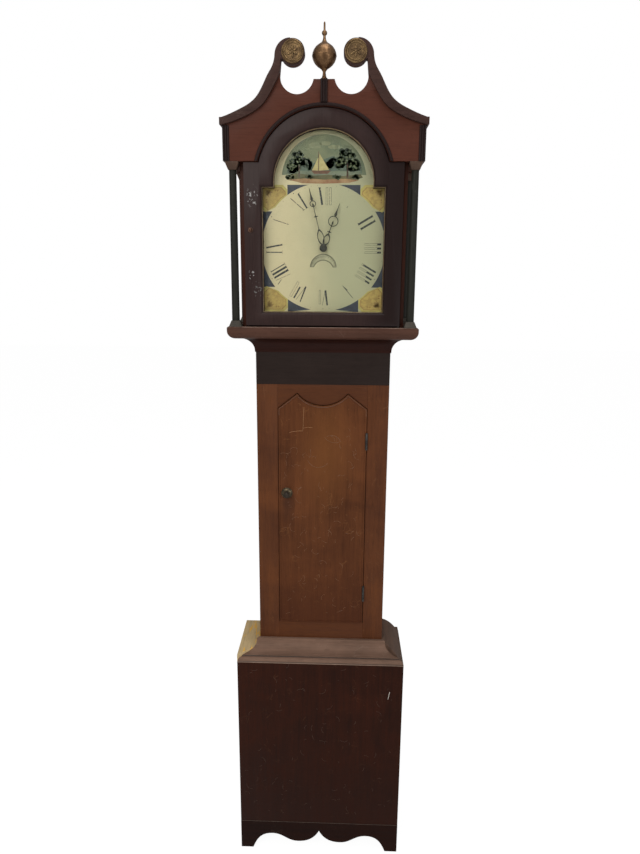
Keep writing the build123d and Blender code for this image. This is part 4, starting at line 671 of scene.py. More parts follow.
class CLOCK_OT_trunk_door(bpy.types.Operator):
    """Dress the trunk door: oak panel with the knob's painted shadow, scratches, rose, knob and latch"""
    bl_idname = "clock.trunk_door"
    bl_label = "Trunk door"

    def execute(self, context):
        oak = wood("door_oak", shade(colours().oak, 1.08), (0.060, 0.019, 0.007), scratches=0.42,
                   scratch_colour=(0.30, 0.135, 0.05), specks=0.8, speck_colour=(0.21, 0.09, 0.033), fine=0.7,
                   figure=0.6, patches=1.7,
                   extra=layered(glow((0.01, DOOR_FRONT, 1.20), (0.10, 1.0, 0.22), (0.165, 0.060, 0.016), 0.55),
                                 # Painted shade: a dark patch just below the knob stands for the knob's cast
                                 # shadow on the door.
                                 glow((-0.092, DOOR_FRONT, 1.06), (0.03, 1.0, 0.07), (0.03, 0.012, 0.008),
                                      0.6),
                                 sink("Z", 0.7, 1.0, 0.55, 0.0, (0.045, 0.011, 0.004))))
        eased("trunk_door_panel", 0.0007, oak)
        paint_nodes(MATERIALS["dark_iron"], "trunk_hinge_door_leaves", "latch_tongue")
        self.scratches()
        self.furniture()
        return {"FINISHED"}

    def scratches(self):
        """The light scratches of the door, and a painted highlight along the arris round its shaped top."""
        host = "trunk_door_panel"
        light = paint("scratch_light", (0.36, 0.17, 0.06), (0.24, 0.10, 0.035), scale=160.0)
        front = DOOR_FRONT + 0.0014
        runs = [mm([(-48, 1322), (-49.5, 1300), (-50, 1275), (-51, 1258)]),
                mm([(-51, 1259), (-62, 1258.5), (-73, 1257.5), (-86, 1254)]),
                mm([(-49, 1266.5), (-38, 1269), (-26, 1268)])]
        wire("door_scratch", upright(runs, front), 0.0005, host, light)
        faint = paint("scratch_faint", (0.21, 0.095, 0.036), (0.14, 0.055, 0.022), scale=160.0)
        curves = [arc(-0.010, 1.190, 0.030, 200, 325, 14), arc(0.024, 1.222, 0.026, 20, 118, 10),
                  arc(0.034, 1.262, 0.034, 215, 285, 10), arc(-0.060, 1.20, 0.030, 330, 380, 8)]
        wire("door_scuffs", upright(curves, front), 0.00035, host, faint)
        scratch_marks("door_marks", 3, 120, (-0.100, 0.095, 0.73, 1.27), DOOR_FRONT + 0.0015, host, faint)
        # Painted highlight: a light line along the door's shaped top edge, where it catches the light.
        arris = paint("door_top_highlight", (0.19, 0.115, 0.085), (0.10, 0.048, 0.03), scale=50.0)
        low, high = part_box(host)
        left, right = low[0] + 0.002, high[0] - 0.002
        top = ([(right, DOOR_TOP_CORNER), (right, DOOR_TOP_SHOULDER)]
               + arc(0.0, DOOR_HOLLOW_Z, DOOR_HOLLOW_RADIUS, 319.5, 220.5, 24)
               + [(left, DOOR_TOP_SHOULDER), (left, DOOR_TOP_CORNER)])
        wire("door_top_highlight", upright([top], low[1] + 0.0003), 0.00055, host, arris)

    def furniture(self):
        """The rose and the knob."""
        low, high, (x, _, z) = box_frame("knob_backplate")
        dull = metal("dull_brass", (0.15, 0.115, 0.07), (0.055, 0.045, 0.032), rough=(0.4, 0.65))
        rose = mm([(3.1, 0), (15, 0), (15, 0.9), (14.5, 1.6), (13.6, 1.9), (12.9, 1.4), (12.2, 1.2), (11.6, 1.7),
                   (10.8, 2.4), (9.8, 2.6), (9.1, 3), (8.4, 3.6), (6.2, 3.7), (3.1, 3.7), (3.1, 0)])
        plate = lathe("door_rose", rose, (x, high[1], z), "knob_backplate", dull, steps=56)
        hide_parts("knob_backplate")
        dark = wood("dark_knob", (0.045, 0.035, 0.026), (0.02, 0.015, 0.012), rough=(0.25, 0.4))
        low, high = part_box("trunk_door_knob")
        tip = high[1] - low[1]
        knob = [(radius, tip - down) for radius, down in mm([
            (0, 0), (4.2, 0.3), (6.8, 1.7), (8.3, 4.6), (8.5, 7.8), (7.7, 11.5), (6, 14), (4.7, 15.5),
            (4.5, 17.5), (5.1, 19), (5.1, 20.2), (3, 20.3)])] + [(0.003, 0.0), (0.0, 0.0)]
        turned = lathe("turned_knob", knob, (x, high[1], z), "trunk_door_knob", dark)
        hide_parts("trunk_door_knob")


# Hood

class CLOCK_OT_hood(bpy.types.Operator):
    """Dress the hood: mouldings, columns, frieze, swan necks, rosettes and finial"""
    bl_idname = "clock.hood"
    bl_label = "Hood"

    def execute(self, context):
        tint = colours()
        edge = sizes().eased_edge
        red = wood("hood_mahogany", tint.frieze, shade(tint.frieze, 0.72), along="X", rough=(0.42, 0.58),
                   scratches=0.12, fine=0.6, figure=0.5, patches=0.5, specks=0.08)
        upright_red = wood("hood_mahogany_upright", shade(tint.frieze, 0.8), shade(tint.frieze, 0.5),
                           rough=(0.4, 0.6), scratches=0.15, fine=0.8)
        brown = wood("neck_brown", tint.neck, shade(tint.neck, 0.6), along="X", rough=(0.4, 0.6), scratches=0.2,
                     scratch_colour=(0.22, 0.16, 0.13))
        dark = wood("dark_bead", shade(tint.door, 0.6), shade(tint.door, 0.35), rough=(0.4, 0.6), scratches=0.1)
        base = wood("hood_base", tint.base, shade(tint.base, 0.55), along="X", rough=(0.38, 0.55),
                    scratches=0.35, scratch_colour=(0.2, 0.13, 0.1))
        shadow = wood("mask_board", shade(tint.door, 0.5), shade(tint.door, 0.3), rough=(0.5, 0.7))
        green = wood("column_paint", tint.column, shade(tint.column, 0.6), rough=(0.45, 0.62), scratches=0.3,
                     scratch_colour=(0.10, 0.10, 0.085))
        copper = wood("capital_paint", (0.105, 0.062, 0.042), (0.045, 0.028, 0.021), rough=(0.42, 0.6),
                      scratches=0.3, scratch_colour=(0.2, 0.15, 0.11))
        grey = wood("column_base_paint", (0.085, 0.072, 0.058), (0.035, 0.032, 0.027), rough=(0.45, 0.65),
                    scratches=0.4, scratch_colour=(0.24, 0.22, 0.19))
        for name, share, material in (
                ("hood_frieze", 0.7, red), ("frieze_side_boards", 0.7, upright_red),
                ("hood_side_boards", 1.0, upright_red), ("hood_mask", 0.5, shadow),
                ("hood_roof", 1.0, MATERIALS["back_board"]), ("column_shafts", 0.4, green),
                ("column_capitals", 0.8, copper), ("column_bases", 0.8, grey)):
            eased(name, edge * share, material)
        for side in ("left", "right"):
            eased(f"swan_neck_{side}", 0.0034, brown, segments=4)
        paint_nodes(base, "hood_base_moulding")
        paint_nodes(dark, "frieze_beads")
        ring = (arc(0.0, FRIEZE_ARCH_Z, FRIEZE_ARCH_RADIUS - 0.0115, 4, 176, 56)
                + arc(0.0, FRIEZE_ARCH_Z, FRIEZE_ARCH_RADIUS, 176, 4, 56))
        plates("arch_strip", [ring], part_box("hood_frieze")[1][1] + 0.0001, 0.0015, "hood_frieze", dark)
        self.light_lines()
        self.rosettes()
        self.finial()
        return {"FINISHED"}

    def light_lines(self):
        """A painted highlight along the top arris of the base moulding, where it catches the light."""
        low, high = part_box("hood_base_moulding")
        # Painted highlight along the moulding's top edges.
        worn = paint("base_top_highlight", (0.30, 0.20, 0.15), (0.13, 0.07, 0.05), scale=70.0, contrast=0.5)
        left, right = low[0] + 0.003, high[0] - 0.003
        front, back, top = low[1] + 0.0021, high[1] - 0.002, high[2] - 0.0008
        wire("base_top_highlight_line", [[(left, back, top), (left, front, top), (right, front, top), (right, back, top)]],
             LINE, "hood_base_moulding", worn)

    def rosettes(self):
        """Two pressed brass rosettes with a rope rim and a flower."""
        brass = metal("rosette_brass", (0.20, 0.130, 0.062), (0.11, 0.070, 0.038), rough=(0.35, 0.55),
                      relief=0.05)
        low, high, (_, _, z) = box_frame("rosettes")
        back, thick, radius = high[1], high[1] - low[1], (high[2] - low[2]) / 2
        profile = [(radius * out, thick * up) for out, up in (
            (0, 0), (1, 0), (1, 0.35), (0.985, 0.62), (0.93, 0.8), (0.87, 0.62), (0.84, 0.42), (0.8, 0.4),
            (0.77, 0.66), (0.72, 0.74), (0.67, 0.6), (0.64, 0.34), (0.55, 0.3), (0.3, 0.34), (0, 0.4))]
        for side, x in (("left", low[0] + radius), ("right", high[0] - radius)):
            plate = lathe(f"rosette_{side}", profile, (x, back, z), "rosettes", brass, steps=64)
            shape = bmesh.new()

            def bead(away, turn, depth, size, stretch, segments, rings, spin=0.0):
                """One rounded bead of the relief."""
                place = Matrix.Translation((x + away * cos(turn), back - thick * depth, z + away * sin(turn)))
                bmesh.ops.create_uvsphere(
                    shape, u_segments=segments, v_segments=rings, radius=size,
                    matrix=place @ Matrix.Rotation(spin, 4, "Y") @ Matrix.Diagonal((*stretch, 1.0)))

            for petal in range(6):
                turn = radians(60 * petal + 30)
                bead(0.0078, turn, 0.45, 0.0040, (1.35, 0.42, 0.72), 14, 8, -turn)
            for index in range(44):
                bead(radius * 0.885, 2 * pi * index / 44, 0.66, 0.00105, (1, 1, 1), 8, 6)
            bead(0.0, 0.0, 0.55, 0.0031, (1, 0.4, 1), 14, 8)
            finish_mesh(shape, f"rosette_flower_{side}", "rosettes", brass)
            if side == "left":
                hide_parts("rosettes")

    def finial(self):
        """The turned brass ball and spire."""
        low, high, (x, y, _) = box_frame("finial")
        ball, tall = (high[0] - low[0]) / 2 / MM, (high[2] - low[2]) / MM
        brass = metal("finial_brass", (0.26, 0.15, 0.075), (0.12, 0.066, 0.033), rough=(0.32, 0.5),
                      relief=0.06)
        outline = mm([
            (0, 0), (7.5, 0), (7.5, 1.8), (7, 2.5), (5.2, 4.2), (4.1, 8.5), (3.3, 13.5), (3.6, 16.5),
            (5.2, 18.2), (6, 20), (9.2, 22.6), (14.6, 26.2), (19.6, 30.6), (23.6, 36), (26.1, 42),
            (ball - 0.3, 46.6), (ball, 47.2), (ball, 48.4), (ball - 0.3, 49), (26.3, 53.8), (23.8, 60),
            (19.6, 65.8), (14.2, 70.2), (9.2, 73.3), (5.8, 76.2), (4, 79.6), (3, 83.8), (2.8, 88.2),
            (4.2, 89.8), (5.8, 92.2), (6, 94), (5.2, 96.8), (3.4, 98.6), (2.2, 100), (2.1, tall - 4),
            (1.3, tall - 0.8), (0, tall)])
        turned = lathe("turned_finial", outline, (x, y, low[2]), "finial", brass, (0, 0, 1), 56, 50.0)
        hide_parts("finial")


# Hood door

class CLOCK_OT_hood_door(bpy.types.Operator):
    """Dress the hood door: dark frame with painted shade towards its right side, sight bead, glass and knob"""
    bl_idname = "clock.hood_door"
    bl_label = "Hood door"

    def execute(self, context):
        tint = colours()
        front = HOOD_DOOR_FRONT
        white = (0.30, 0.29, 0.28)
        spots = [flecks((x, front, z), (wide, 0.03, tall), tone, threshold, size)
                 for x, z, wide, tall, tone, threshold, size in (
                     (-0.166, 1.833, 0.016, 0.030, white, 0.585, 170.0),
                     (-0.170, 1.652, 0.010, 0.020, white, 0.60, 190.0),
                     (-0.156, 1.622, 0.012, 0.026, shade(white, 0.5), 0.58, 150.0))]
        # Painted shade: the frame grows darker towards its right side, away from the light on the left.
        dark = wood("hood_door_varnish_and_shade", tint.door, shade(tint.door, 0.62), rough=(0.36, 0.52), scratches=0.12,
                    fine=0.5, figure=0.4, patches=0.5, specks=0.06, coat=0.08,
                    extra=layered(*spots, sink("X", 0.08, 0.165, 0.0, 0.8, (0.010, 0.0045, 0.004))))
        eased("hood_door_frame", 0.0014, dark)
        tan = paint("sight_tan", (0.33, 0.235, 0.12), (0.16, 0.10, 0.05), scale=60.0, contrast=0.45)
        radius = sizes().sight_bead
        half, low, shoulder, arch, arch_z = DOOR_OPENING.values()
        outline = break_arch(half - radius, low + radius, shoulder - radius, arch - radius, arch_z)
        wire("sight_bead", upright([outline], GLASS_FRONT - radius * 0.7), radius, "hood_door_frame", tan,
             closed=True, resolution=2)
        glass, tree, shader, _ = new_material("old_glass")
        feed(tree, shader, {"Base Color": (0.93, 0.96, 0.93, 1.0), "Roughness": 0.02, "IOR": 1.01,
                            "Transmission Weight": 1.0, "Specular IOR Level": 0.4})
        paint_nodes(glass, "hood_door_glass")
        low, high, (x, _, z) = box_frame("hood_door_knob")
        tip = (high[1] - low[1]) / MM
        copper = metal("copper_knob", (0.20, 0.105, 0.07), (0.09, 0.05, 0.035), rough=(0.35, 0.55))
        outline = mm([(0, tip), (2.4, tip - 0.7), (3.7, tip - 2.4), (4, tip - 4.5), (3.2, tip - 6.7),
                      (2.1, tip - 7.8), (1.9, 2), (3.5, 1.4), (5.4, 1), (5.6, 0), (0, 0)])
        knob = lathe("hood_knob", outline, (x, high[1], z), "hood_door_knob", copper, steps=32)
        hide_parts("hood_door_knob")
        paint_nodes(MATERIALS["dark_iron"], "hood_door_pivots")
        return {"FINISHED"}


# Dial

def on_dial(hour_angle, across, out):
    """A place on the dial: across and out are measured from the centre along an hour's own line."""
    turn = radians(hour_angle)
    return (out * sin(turn) + across * cos(turn), DIAL_CENTRE_Z + out * cos(turn) - across * sin(turn))


def stroke(hour_angle, start, end, width_start, width_end):
    """The outline of one straight stroke of a numeral, between (across, out) ends."""
    dx, dz = end[0] - start[0], end[1] - start[1]
    size = 2 * sqrt(dx * dx + dz * dz)
    nx, nz = -dz / size, dx / size
    ends = ((start, width_start), (start, -width_start), (end, -width_end), (end, width_end))
    return [on_dial(hour_angle, point[0] + nx * width, point[1] + nz * width) for point, width in ends]


# Numerals in millimetres, as worn as they are now. Strokes run from the outer circle to the inner one.
# Filled strokes and fine ones: hour angle, place across at the top and at the foot, width at the top and at
# the foot, and how far the stroke stops short of the outer and of the inner circle
FILLED = (
    (60, -6.2, -6.2, 4.6, 4.6, 0, 0), (60, 6.2, 6.2, 4.6, 4.6, 0, 0),
    (90, -9.5, -9.5, 3.91, 3.91, 0, 30), (90, 0, 0, 3.91, 3.91, 0, 30), (90, 9.5, 9.5, 3.91, 3.91, 0, 30),
    (120, -15, -15, 3.68, 3.68, 0, 4), (120, -5, -5, 3.68, 3.68, 0, 19), (120, 5, 5, 3.68, 3.68, 0, 23),
    (120, 15, 15, 3.68, 3.68, 0, 26), (150, -2, 1.6, 2.2, 1, 23.5, 4), (180, -10.5, -5.5, 3.5, 4.9, 3, 0),
    (210, 3, 3, 3.68, 3.68, 0, 8), (210, -15, -8.8, 2.53, 3.68, 0, 0), (240, 15, 15, 2.07, 2.07, 0, 0),
    (240, 7, 7, 4.6, 4.6, 0, 0), (240, -1.5, -1.5, 4.6, 4.6, 0, 0), (270, -10, -10, 2.3, 2.3, 0, 0),
    (270, 0.5, 7.8, 3.68, 3.68, 0, 0), (330, 9.5, 11.5, 3.68, 3.68, 0, 0), (0, -10, -3.5, 4.37, 4.6, 0, 0))
FINE = (
    (30, 2, 1, 0.6, 1.6, 25.5, 8.5), (150, -4.5, 3, 1.3, 1.3, 0, 0), (180, 1.5, -5.2, 0.9, 0.9, 3, 0),
    (210, -3.5, -8.5, 0.9, 0.9, 0, 0), (240, -8.5, -12.5, 0.9, 0.9, 0, 0), (240, -19, -13, 2.2, 1, 0, 25.5),
    (300, -3.5, 5.5, 1.5, 1.5, 0, 0), (330, -11.5, 3, 1.6, 1.6, 0, 0))
# Feet: hour angle, left end, right end, thickness, and whether one stands at the top and at the foot
FEET = (
    (60, -9.95, -2.45, 0.6, 1, 1), (60, 2.45, 9.95, 0.6, 1, 1), (240, 11.25, 18.75, 0.6, 1, 1),
    (240, 3.25, 10.75, 0.6, 1, 1), (240, -5.25, 2.25, 0.6, 1, 1), (270, -13.75, -6.25, 0.6, 1, 1),
    (270, -1.5, 3.5, 0.7, 1, 0), (270, 5.5, 10, 0.7, 0, 1), (330, -0.6, 6, 1, 0, 1),
    (330, 7.75, 15.25, 0.6, 1, 1), (0, -13.5, -7, 0.7, 1, 0))
# Bars that have lost their filling: hour angle, place across, width, and how far they stop short of the top
HOLLOW = (
    (90, -9.5, 3.91, 0), (90, 0, 3.91, 0), (90, 9.5, 3.91, 0), (120, -15, 3.68, 0), (120, -5, 3.68, 0),
    (120, 5, 3.68, 0), (120, 15, 3.68, 0), (180, 7.8, 3.68, 6), (210, 12.5, 5.06, 0), (0, 7.5, 4.37, 0),
    (0, 16, 4.37, 0))


class CLOCK_OT_dial(bpy.types.Operator):
    """Paint the dial: ground, corners, numerals, minute dots and calendar"""
    bl_idname = "clock.dial"
    bl_label = "Dial"

    def execute(self, context):
        self.ground()
        self.corners()
        self.numerals()
        self.minutes()
        self.mouth()
        self.calendar()
        return {"FINISHED"}

    def ground(self):
        """Cream paint, crazed and faintly stained, with painted light across it: lighter and warmer on the left,
        in painted shade on the right.
        """
        tint = colours()
        made, tree, shader, place = new_material("dial_ground")
        wander = noise(tree, place, 9.0, 4.0, 0.6)
        swayed = times(tree, math(tree, "SUBTRACT", wander, 0.5), 0.09)
        # Painted light: the ground goes from lit on the left to painted shade on the right.
        side = ramp(tree, math(tree, "ADD", coordinate(tree, place, "X"), swayed), -0.10, 0.06)
        stain = ramp(tree, noise(tree, place, 26.0, 5.0, 0.65), 0.5, 0.78)
        stained = mix(tree, times(tree, stain, 0.22), mix(tree, side, tint.ground_left, tint.ground_right),
                      (0.28, 0.24, 0.13))
        cracks = edges(tree, place, 150.0)
        crazed = mix(tree, ramp(tree, cracks, 0.0, 0.05, 0.14, 0.0), stained, (0.22, 0.2, 0.13))
        feed(tree, shader, {"Base Color": crazed, "Roughness": ramp(tree, wander, 0.3, 0.7, 0.32, 0.46)},
             cracks, 0.05, 0.0002)
        paint_nodes(made, "dial_plate")

    def worn_ink(self, name, threshold):
        """Black that has rubbed away in places, down to the ground."""
        tint = colours()
        made, tree, shader, place = new_material(name)
        rubbed = ramp(tree, noise(tree, place, 330.0, 3.0, 0.6), threshold, threshold + 0.07)
        # Under the rubbed ink the ground keeps the same painted light: lit on the left, shaded on the right.
        ground = mix(tree, ramp(tree, coordinate(tree, place, "X"), -0.10, 0.06),
                     tint.ground_left, tint.ground_right)
        feed(tree, shader, {"Base Color": mix(tree, rubbed, tint.ink, ground), "Roughness": 0.4})
        return made

    def corners(self):
        """Four gilt corners, each with a pale frame and a shell, and blue between them and the circle."""
        tint = colours()
        radius = sizes().circle_radius
        half, top, bottom = DIAL_HALF - 0.0035, DIAL_SHOULDER - 0.0035, DIAL_BOTTOM + 0.006
        brown = paint("corner_brown", (0.20, 0.105, 0.024), (0.30, 0.18, 0.045), 260.0, 0.4)
        shapes = {
            "blue": ([], paint("corner_blue", tint.navy, shade(tint.navy, 1.8), 120.0)),
            "frame": ([], paint("corner_frame", (0.40, 0.33, 0.085), (0.30, 0.235, 0.058), 90.0)),
            "line": ([], brown),
            "gold": ([], paint("corner_gold", tint.gold, (0.27, 0.175, 0.045), 130.0, 0.4)),
            "shell": ([], brown)}
        for sx, edge_z, sz in ((-1, top, 1), (1, top, 1), (-1, bottom, -1), (1, bottom, -1)):
            reach = abs(edge_z - DIAL_CENTRE_Z)

            def put(name, points):
                """Add an outline given as distances in from this corner."""
                shapes[name][0].append([(sx * (half - across), edge_z - sz * up) for across, up in points])

            def corner(inset, size, extent, clip=0.010):
                """A corner plate: straight on two sides, clipped at its ends, hollowed by the circle."""
                limit = extent + clip
                side = [(inset, inset), (extent, inset), (limit, inset + clip)]
                curve = []
                for index in range(29):
                    across = inset + (limit - inset) * index / 28
                    up = reach - sqrt(max(size * size - (half - across) ** 2, 0.0))
                    if inset + clip < up < extent:
                        curve.insert(0, (across, up))
                return side + curve + [(inset + clip, limit), (inset, extent)]

            put("frame", corner(0.0, radius, 0.052))
            put("line", corner(0.0055, radius + 0.0035, 0.0485))
            put("gold", corner(0.0068, radius + 0.0048, 0.0468))
            heart = 0.0125
            for petal in range(7):
                turn = radians(8 + petal * 12.5)
                out = 0.0135 + 0.004 * (petal % 2)
                tip = (heart + out * cos(turn), heart + out * sin(turn))
                side = (0.0020 * -sin(turn), 0.0020 * cos(turn))
                middle = ((heart + tip[0] * 2) / 3, (heart + tip[1] * 2) / 3)
                put("shell", [(heart, heart), (middle[0] - side[0], middle[1] - side[1]), tip,
                              (middle[0] + side[0], middle[1] + side[1])])
            for across, up in ((0.034, 0.0125), (0.0125, 0.034), (0.0395, 0.013), (0.013, 0.0395),
                               (0.012, 0.012)):
                put("shell", disc(across, up, 0.0021, 10))
            ends = [0.030 + (half - 0.0925) * index / 12 for index in range(13)]
            put("blue", [(0.0625, 0.0)] + [(half - x, max(reach - sqrt(radius * radius - x * x), 0.0))
                                           for x in ends])
            rises = [reach - 0.060 - (reach - 0.094) * index / 12 for index in range(13)]
            put("blue", [(0.0, 0.060)] + [(max(half - sqrt(radius * radius - rise * rise), 0.0), reach - rise)
                                          for rise in rises] + [(0.0, reach - 0.034)])
        for level, (name, (outlines, material)) in enumerate(shapes.items(), 1):
            self.layer(f"dial_corner_{name}", outlines, material, level)
        border = paint("dial_border", (0.40, 0.31, 0.13), (0.27, 0.19, 0.07), scale=80.0)
        rim = DIAL_HALF - 0.0010
        low, high = DIAL_BOTTOM + 0.003, DIAL_SHOULDER - 0.001
        strips = ((-rim, -rim + 0.0022, high), (rim - 0.0022, rim, high), (-rim, rim, low + 0.0025))
        self.layer("dial_border", [[(left, low), (right, low), (right, up), (left, up)]
                                   for left, right, up in strips], border)

    def layer(self, name, outlines, material, level=1):
        """Plates of paint on the dial, as many layers thick as the level says."""
        thick = sizes().paint * level
        plates(name, outlines, DIAL_FRONT - thick, thick, "dial_plate", material)

    def numerals(self):
        """Roman hours set out from the centre. Some have lost their filling, and some are nearly gone."""
        inner, outer = sizes().numeral_inner, sizes().numeral_outer
        solid, lines = [], []
        for rows, outlines in ((FILLED, solid), (FINE, lines)):
            for angle, *rest in rows:
                top, foot, top_width, foot_width, cut, lift = (value * MM for value in rest)
                start, end = (top, outer - cut), (foot, inner + lift)
                outlines.append(stroke(angle, start, end, top_width, foot_width))
        for angle, left, right, thick, at_top, at_foot in FEET:
            for out, there in ((inner, at_foot), (outer, at_top)):
                if there:
                    lines.append(stroke(angle, (left * MM, out), (right * MM, out), thick * MM, thick * MM))
        for angle, *rest in HOLLOW:
            across, width, cut = (value * MM for value in rest)
            left, right, top = across - width / 2, across + width / 2, outer - cut
            for start, end in (((left, inner), (left, top)), ((right, inner), (right, top)),
                               ((left, inner), (right, inner)), ((left, top), (right, top))):
                lines.append(stroke(angle, start, end, 0.0007, 0.0007))
        self.layer("dial_numerals", solid, self.worn_ink("worn_ink", 0.60))
        self.layer("dial_numeral_lines", lines, self.worn_ink("faint_ink", 0.57), 1.3)

    def minutes(self):
        """A ring of minute dots, many of them rubbed away."""
        chance = random.Random(7)
        dots = []
        for minute in range(60):
            if chance.random() >= 0.38:
                x, z = on_dial(minute * 6, 0.0, sizes().minute_radius)
                dots.append(disc(x, z, 0.0011 if minute % 5 == 0 else 0.0006, 8))
        self.layer("minute_dots", dots, self.worn_ink("dot_ink", 0.56))

    def mouth(self):
        """The dark edge of the calendar mouth."""
        edge = paint("mouth_edge", (0.075, 0.07, 0.05), (0.15, 0.14, 0.09), scale=120.0)
        outline = arc(0.0, *MOUTH_UPPER_ARC) + arc(0.0, *MOUTH_LOWER_ARC)
        wire("mouth_edge", upright([outline], DIAL_FRONT - 0.0002), 0.0008, "dial_plate", edge, closed=True,
             resolution=2)

    def calendar(self):
        """The calendar disc: a cream ring with the numbers of the days."""
        paint_nodes(paint("calendar_cream", (0.36, 0.33, 0.2), (0.25, 0.23, 0.14), scale=70.0), "date_disc")
        low, _, (x, _, z) = box_frame("date_disc")
        ink = paint("calendar_ink", (0.03, 0.03, 0.03), (0.12, 0.11, 0.08), scale=300.0)
        shape = bmesh.new()
        for day in range(1, 32):
            letters = bpy.data.curves.new("day", "FONT")
            letters.body = str(day)
            letters.size = 0.0052
            letters.align_x = "CENTER"
            letters.align_y = "CENTER"
            letters.extrude = 0.00004
            solid = evaluated("day", letters)
            solid.transform(Matrix.Translation((x, low[1], z)) @ Matrix.Rotation(2 * pi * day / 31, 4, "Y")
                            @ Matrix.Translation((0, -0.00005, DAY_RING_RADIUS)) @ Matrix.Rotation(pi / 2, 4, "X"))
            shape.from_mesh(solid)
            bpy.data.meshes.remove(solid)
        finish_mesh(shape, "calendar_numbers", "date_disc", ink, smooth=False)


class CLOCK_OT_arch(bpy.types.Operator):
    """Paint the arch: a lake between trees, with a small boat"""
    bl_idname = "clock.arch"
    bl_label = "Arch picture"

    def execute(self, context):
        def lay(name, outlines, tone, other, level, scale=70.0):
            thick = sizes().paint * level
            placed = [[(x * MM, DIAL_SHOULDER + z * MM) for x, z in outline] for outline in outlines]
            plates("arch_" + name, placed, DIAL_FRONT - thick, thick, "dial_plate",
                   paint("arch_" + name, tone, other, scale, 0.5))

        def blob(x, z, size, tall=1.0, steps=18, uneven=0.16, seed=1):
            chance = random.Random(seed)
            return [(x + size * cos(2 * pi * k / steps) * (1 + uneven * (chance.random() - 0.5) * 2),
                     z + size * tall * sin(2 * pi * k / steps) * (1 + uneven * (chance.random() - 0.5) * 2))
                    for k in range(steps)]

        def leaves(x, z, wide, tall, count, size, seed):
            """Small uneven blobs scattered over a tree's crown."""
            chance = random.Random(seed)
            made = []
            for index in range(count):
                turn, far = chance.uniform(0, 2 * pi), sqrt(chance.random())
                made.append(blob(x + wide * far * cos(turn), z + tall * far * sin(turn),
                                 size * chance.uniform(0.6, 1.2), chance.uniform(0.7, 1.0), 9, 0.3,
                                 seed * 100 + index))
            return made

        lay("sky", [arc(0, 8, 100, 6, 174, 44)], (0.095, 0.115, 0.062), (0.155, 0.160, 0.082), 1, 22.0)
        lay("cloud", [blob(-20, 84, 16, 0.4, seed=41), blob(2, 88, 14, 0.35, seed=42), blob(24, 80, 15, 0.3,
                                                                                           seed=43)],
            (0.19, 0.19, 0.10), (0.14, 0.15, 0.08), 2, 60.0)
        lay("hills", [[(-88, 24), (-86, 34), (-70, 44), (-52, 52), (-30, 43), (-8, 50), (20, 60), (46, 52),
                       (70, 38), (88, 30), (90, 22)]], (0.052, 0.078, 0.058), (0.085, 0.11, 0.072), 3, 40.0)
        lay("lake", [[(-86, 16), (-86, 27), (86, 27), (84, 16)]], (0.14, 0.155, 0.098), (0.095, 0.11, 0.07), 4,
            60.0)
        lay("bank", [[(-92, 12), (-90, 18), (-60, 22), (-22, 17), (10, 19), (44, 16), (86, 20), (92, 13), (70, 6),
                      (20, 4), (-40, 3), (-80, 6)]], (0.105, 0.085, 0.025), (0.052, 0.052, 0.017), 5, 60.0)
        lay("earth", [[(-84, 8), (-40, 11), (0, 8), (50, 10), (84, 7), (60, 1), (0, -1), (-52, 0)]],
            (0.20, 0.080, 0.028), (0.30, 0.185, 0.085), 6, 45.0)
        crowns = ((-62, 48, 17, 19, 5), (-74, 33, 10, 9, 6), (54, 56, 19, 22, 7), (70, 38, 14, 14, 8),
                  (38, 43, 9, 10, 9))
        distant = ((22, 46, 12, 11, 12), (-38, 42, 11, 11, 13), (8, 38, 9, 7, 14))
        for label, crown_rows, size, tone, other, level in (
                ("trees_far", distant, 4.5, (0.050, 0.070, 0.048), (0.082, 0.105, 0.066), 7),
                ("trees", crowns, 6.0, (0.016, 0.026, 0.012), (0.036, 0.050, 0.024), 8)):
            lay(label, [outline for x, z, wide, tall, seed in crown_rows
                        for outline in leaves(x, z, wide, tall, 34, size, seed)], tone, other, level, 160.0)
        lay("trunks", [[(-60, 12), (-56, 12), (-58, 40), (-60, 40)], [(53, 12), (58, 12), (56, 44), (54, 44)]],
            (0.040, 0.022, 0.010), (0.075, 0.042, 0.020), 9)
        lay("lit_leaves", [outline for x, z, wide, tall, seed in crowns
                           for outline in leaves(x - 2, z + 3, wide * 0.8, tall * 0.75, 12, 2.6, seed + 50)],
            (0.062, 0.082, 0.034), (0.095, 0.115, 0.048), 10, 160.0)
        lay("sail", [[(-12, 28), (-11, 66), (12, 30)], [(-14, 28), (-13, 58), (-28, 29)]],
            (0.42, 0.35, 0.14), (0.33, 0.26, 0.10), 9, 120.0)
        lay("boat", [[(-30, 28), (16, 28), (9, 21), (-23, 21)], [(-13.4, 26), (-12.2, 26), (-12.2, 70),
                                                                 (-13.4, 70)]],
            (0.14, 0.050, 0.022), (0.08, 0.030, 0.014), 10, 120.0)
        lay("bushes", [outline for x, seed in ((-36, 31), (30, 32), (-80, 33), (76, 34))
                       for outline in leaves(x, 14, 9, 4, 12, 3.4, seed)],
            (0.022, 0.034, 0.013), (0.055, 0.070, 0.024), 11, 120.0)
        return {"FINISHED"}


class CLOCK_OT_hands(bpy.types.Operator):
    """Darken the hands and their pipes"""
    bl_idname = "clock.hands"
    bl_label = "Hands"

    def execute(self, context):
        steel = metal("hand_steel", (0.035, 0.035, 0.033), (0.06, 0.055, 0.045), rough=(0.4, 0.6), metallic=0.7)
        for name in ("minute_hand", "hour_hand"):
            eased(name, 0.00025, steel)
        return {"FINISHED"}


# Movement

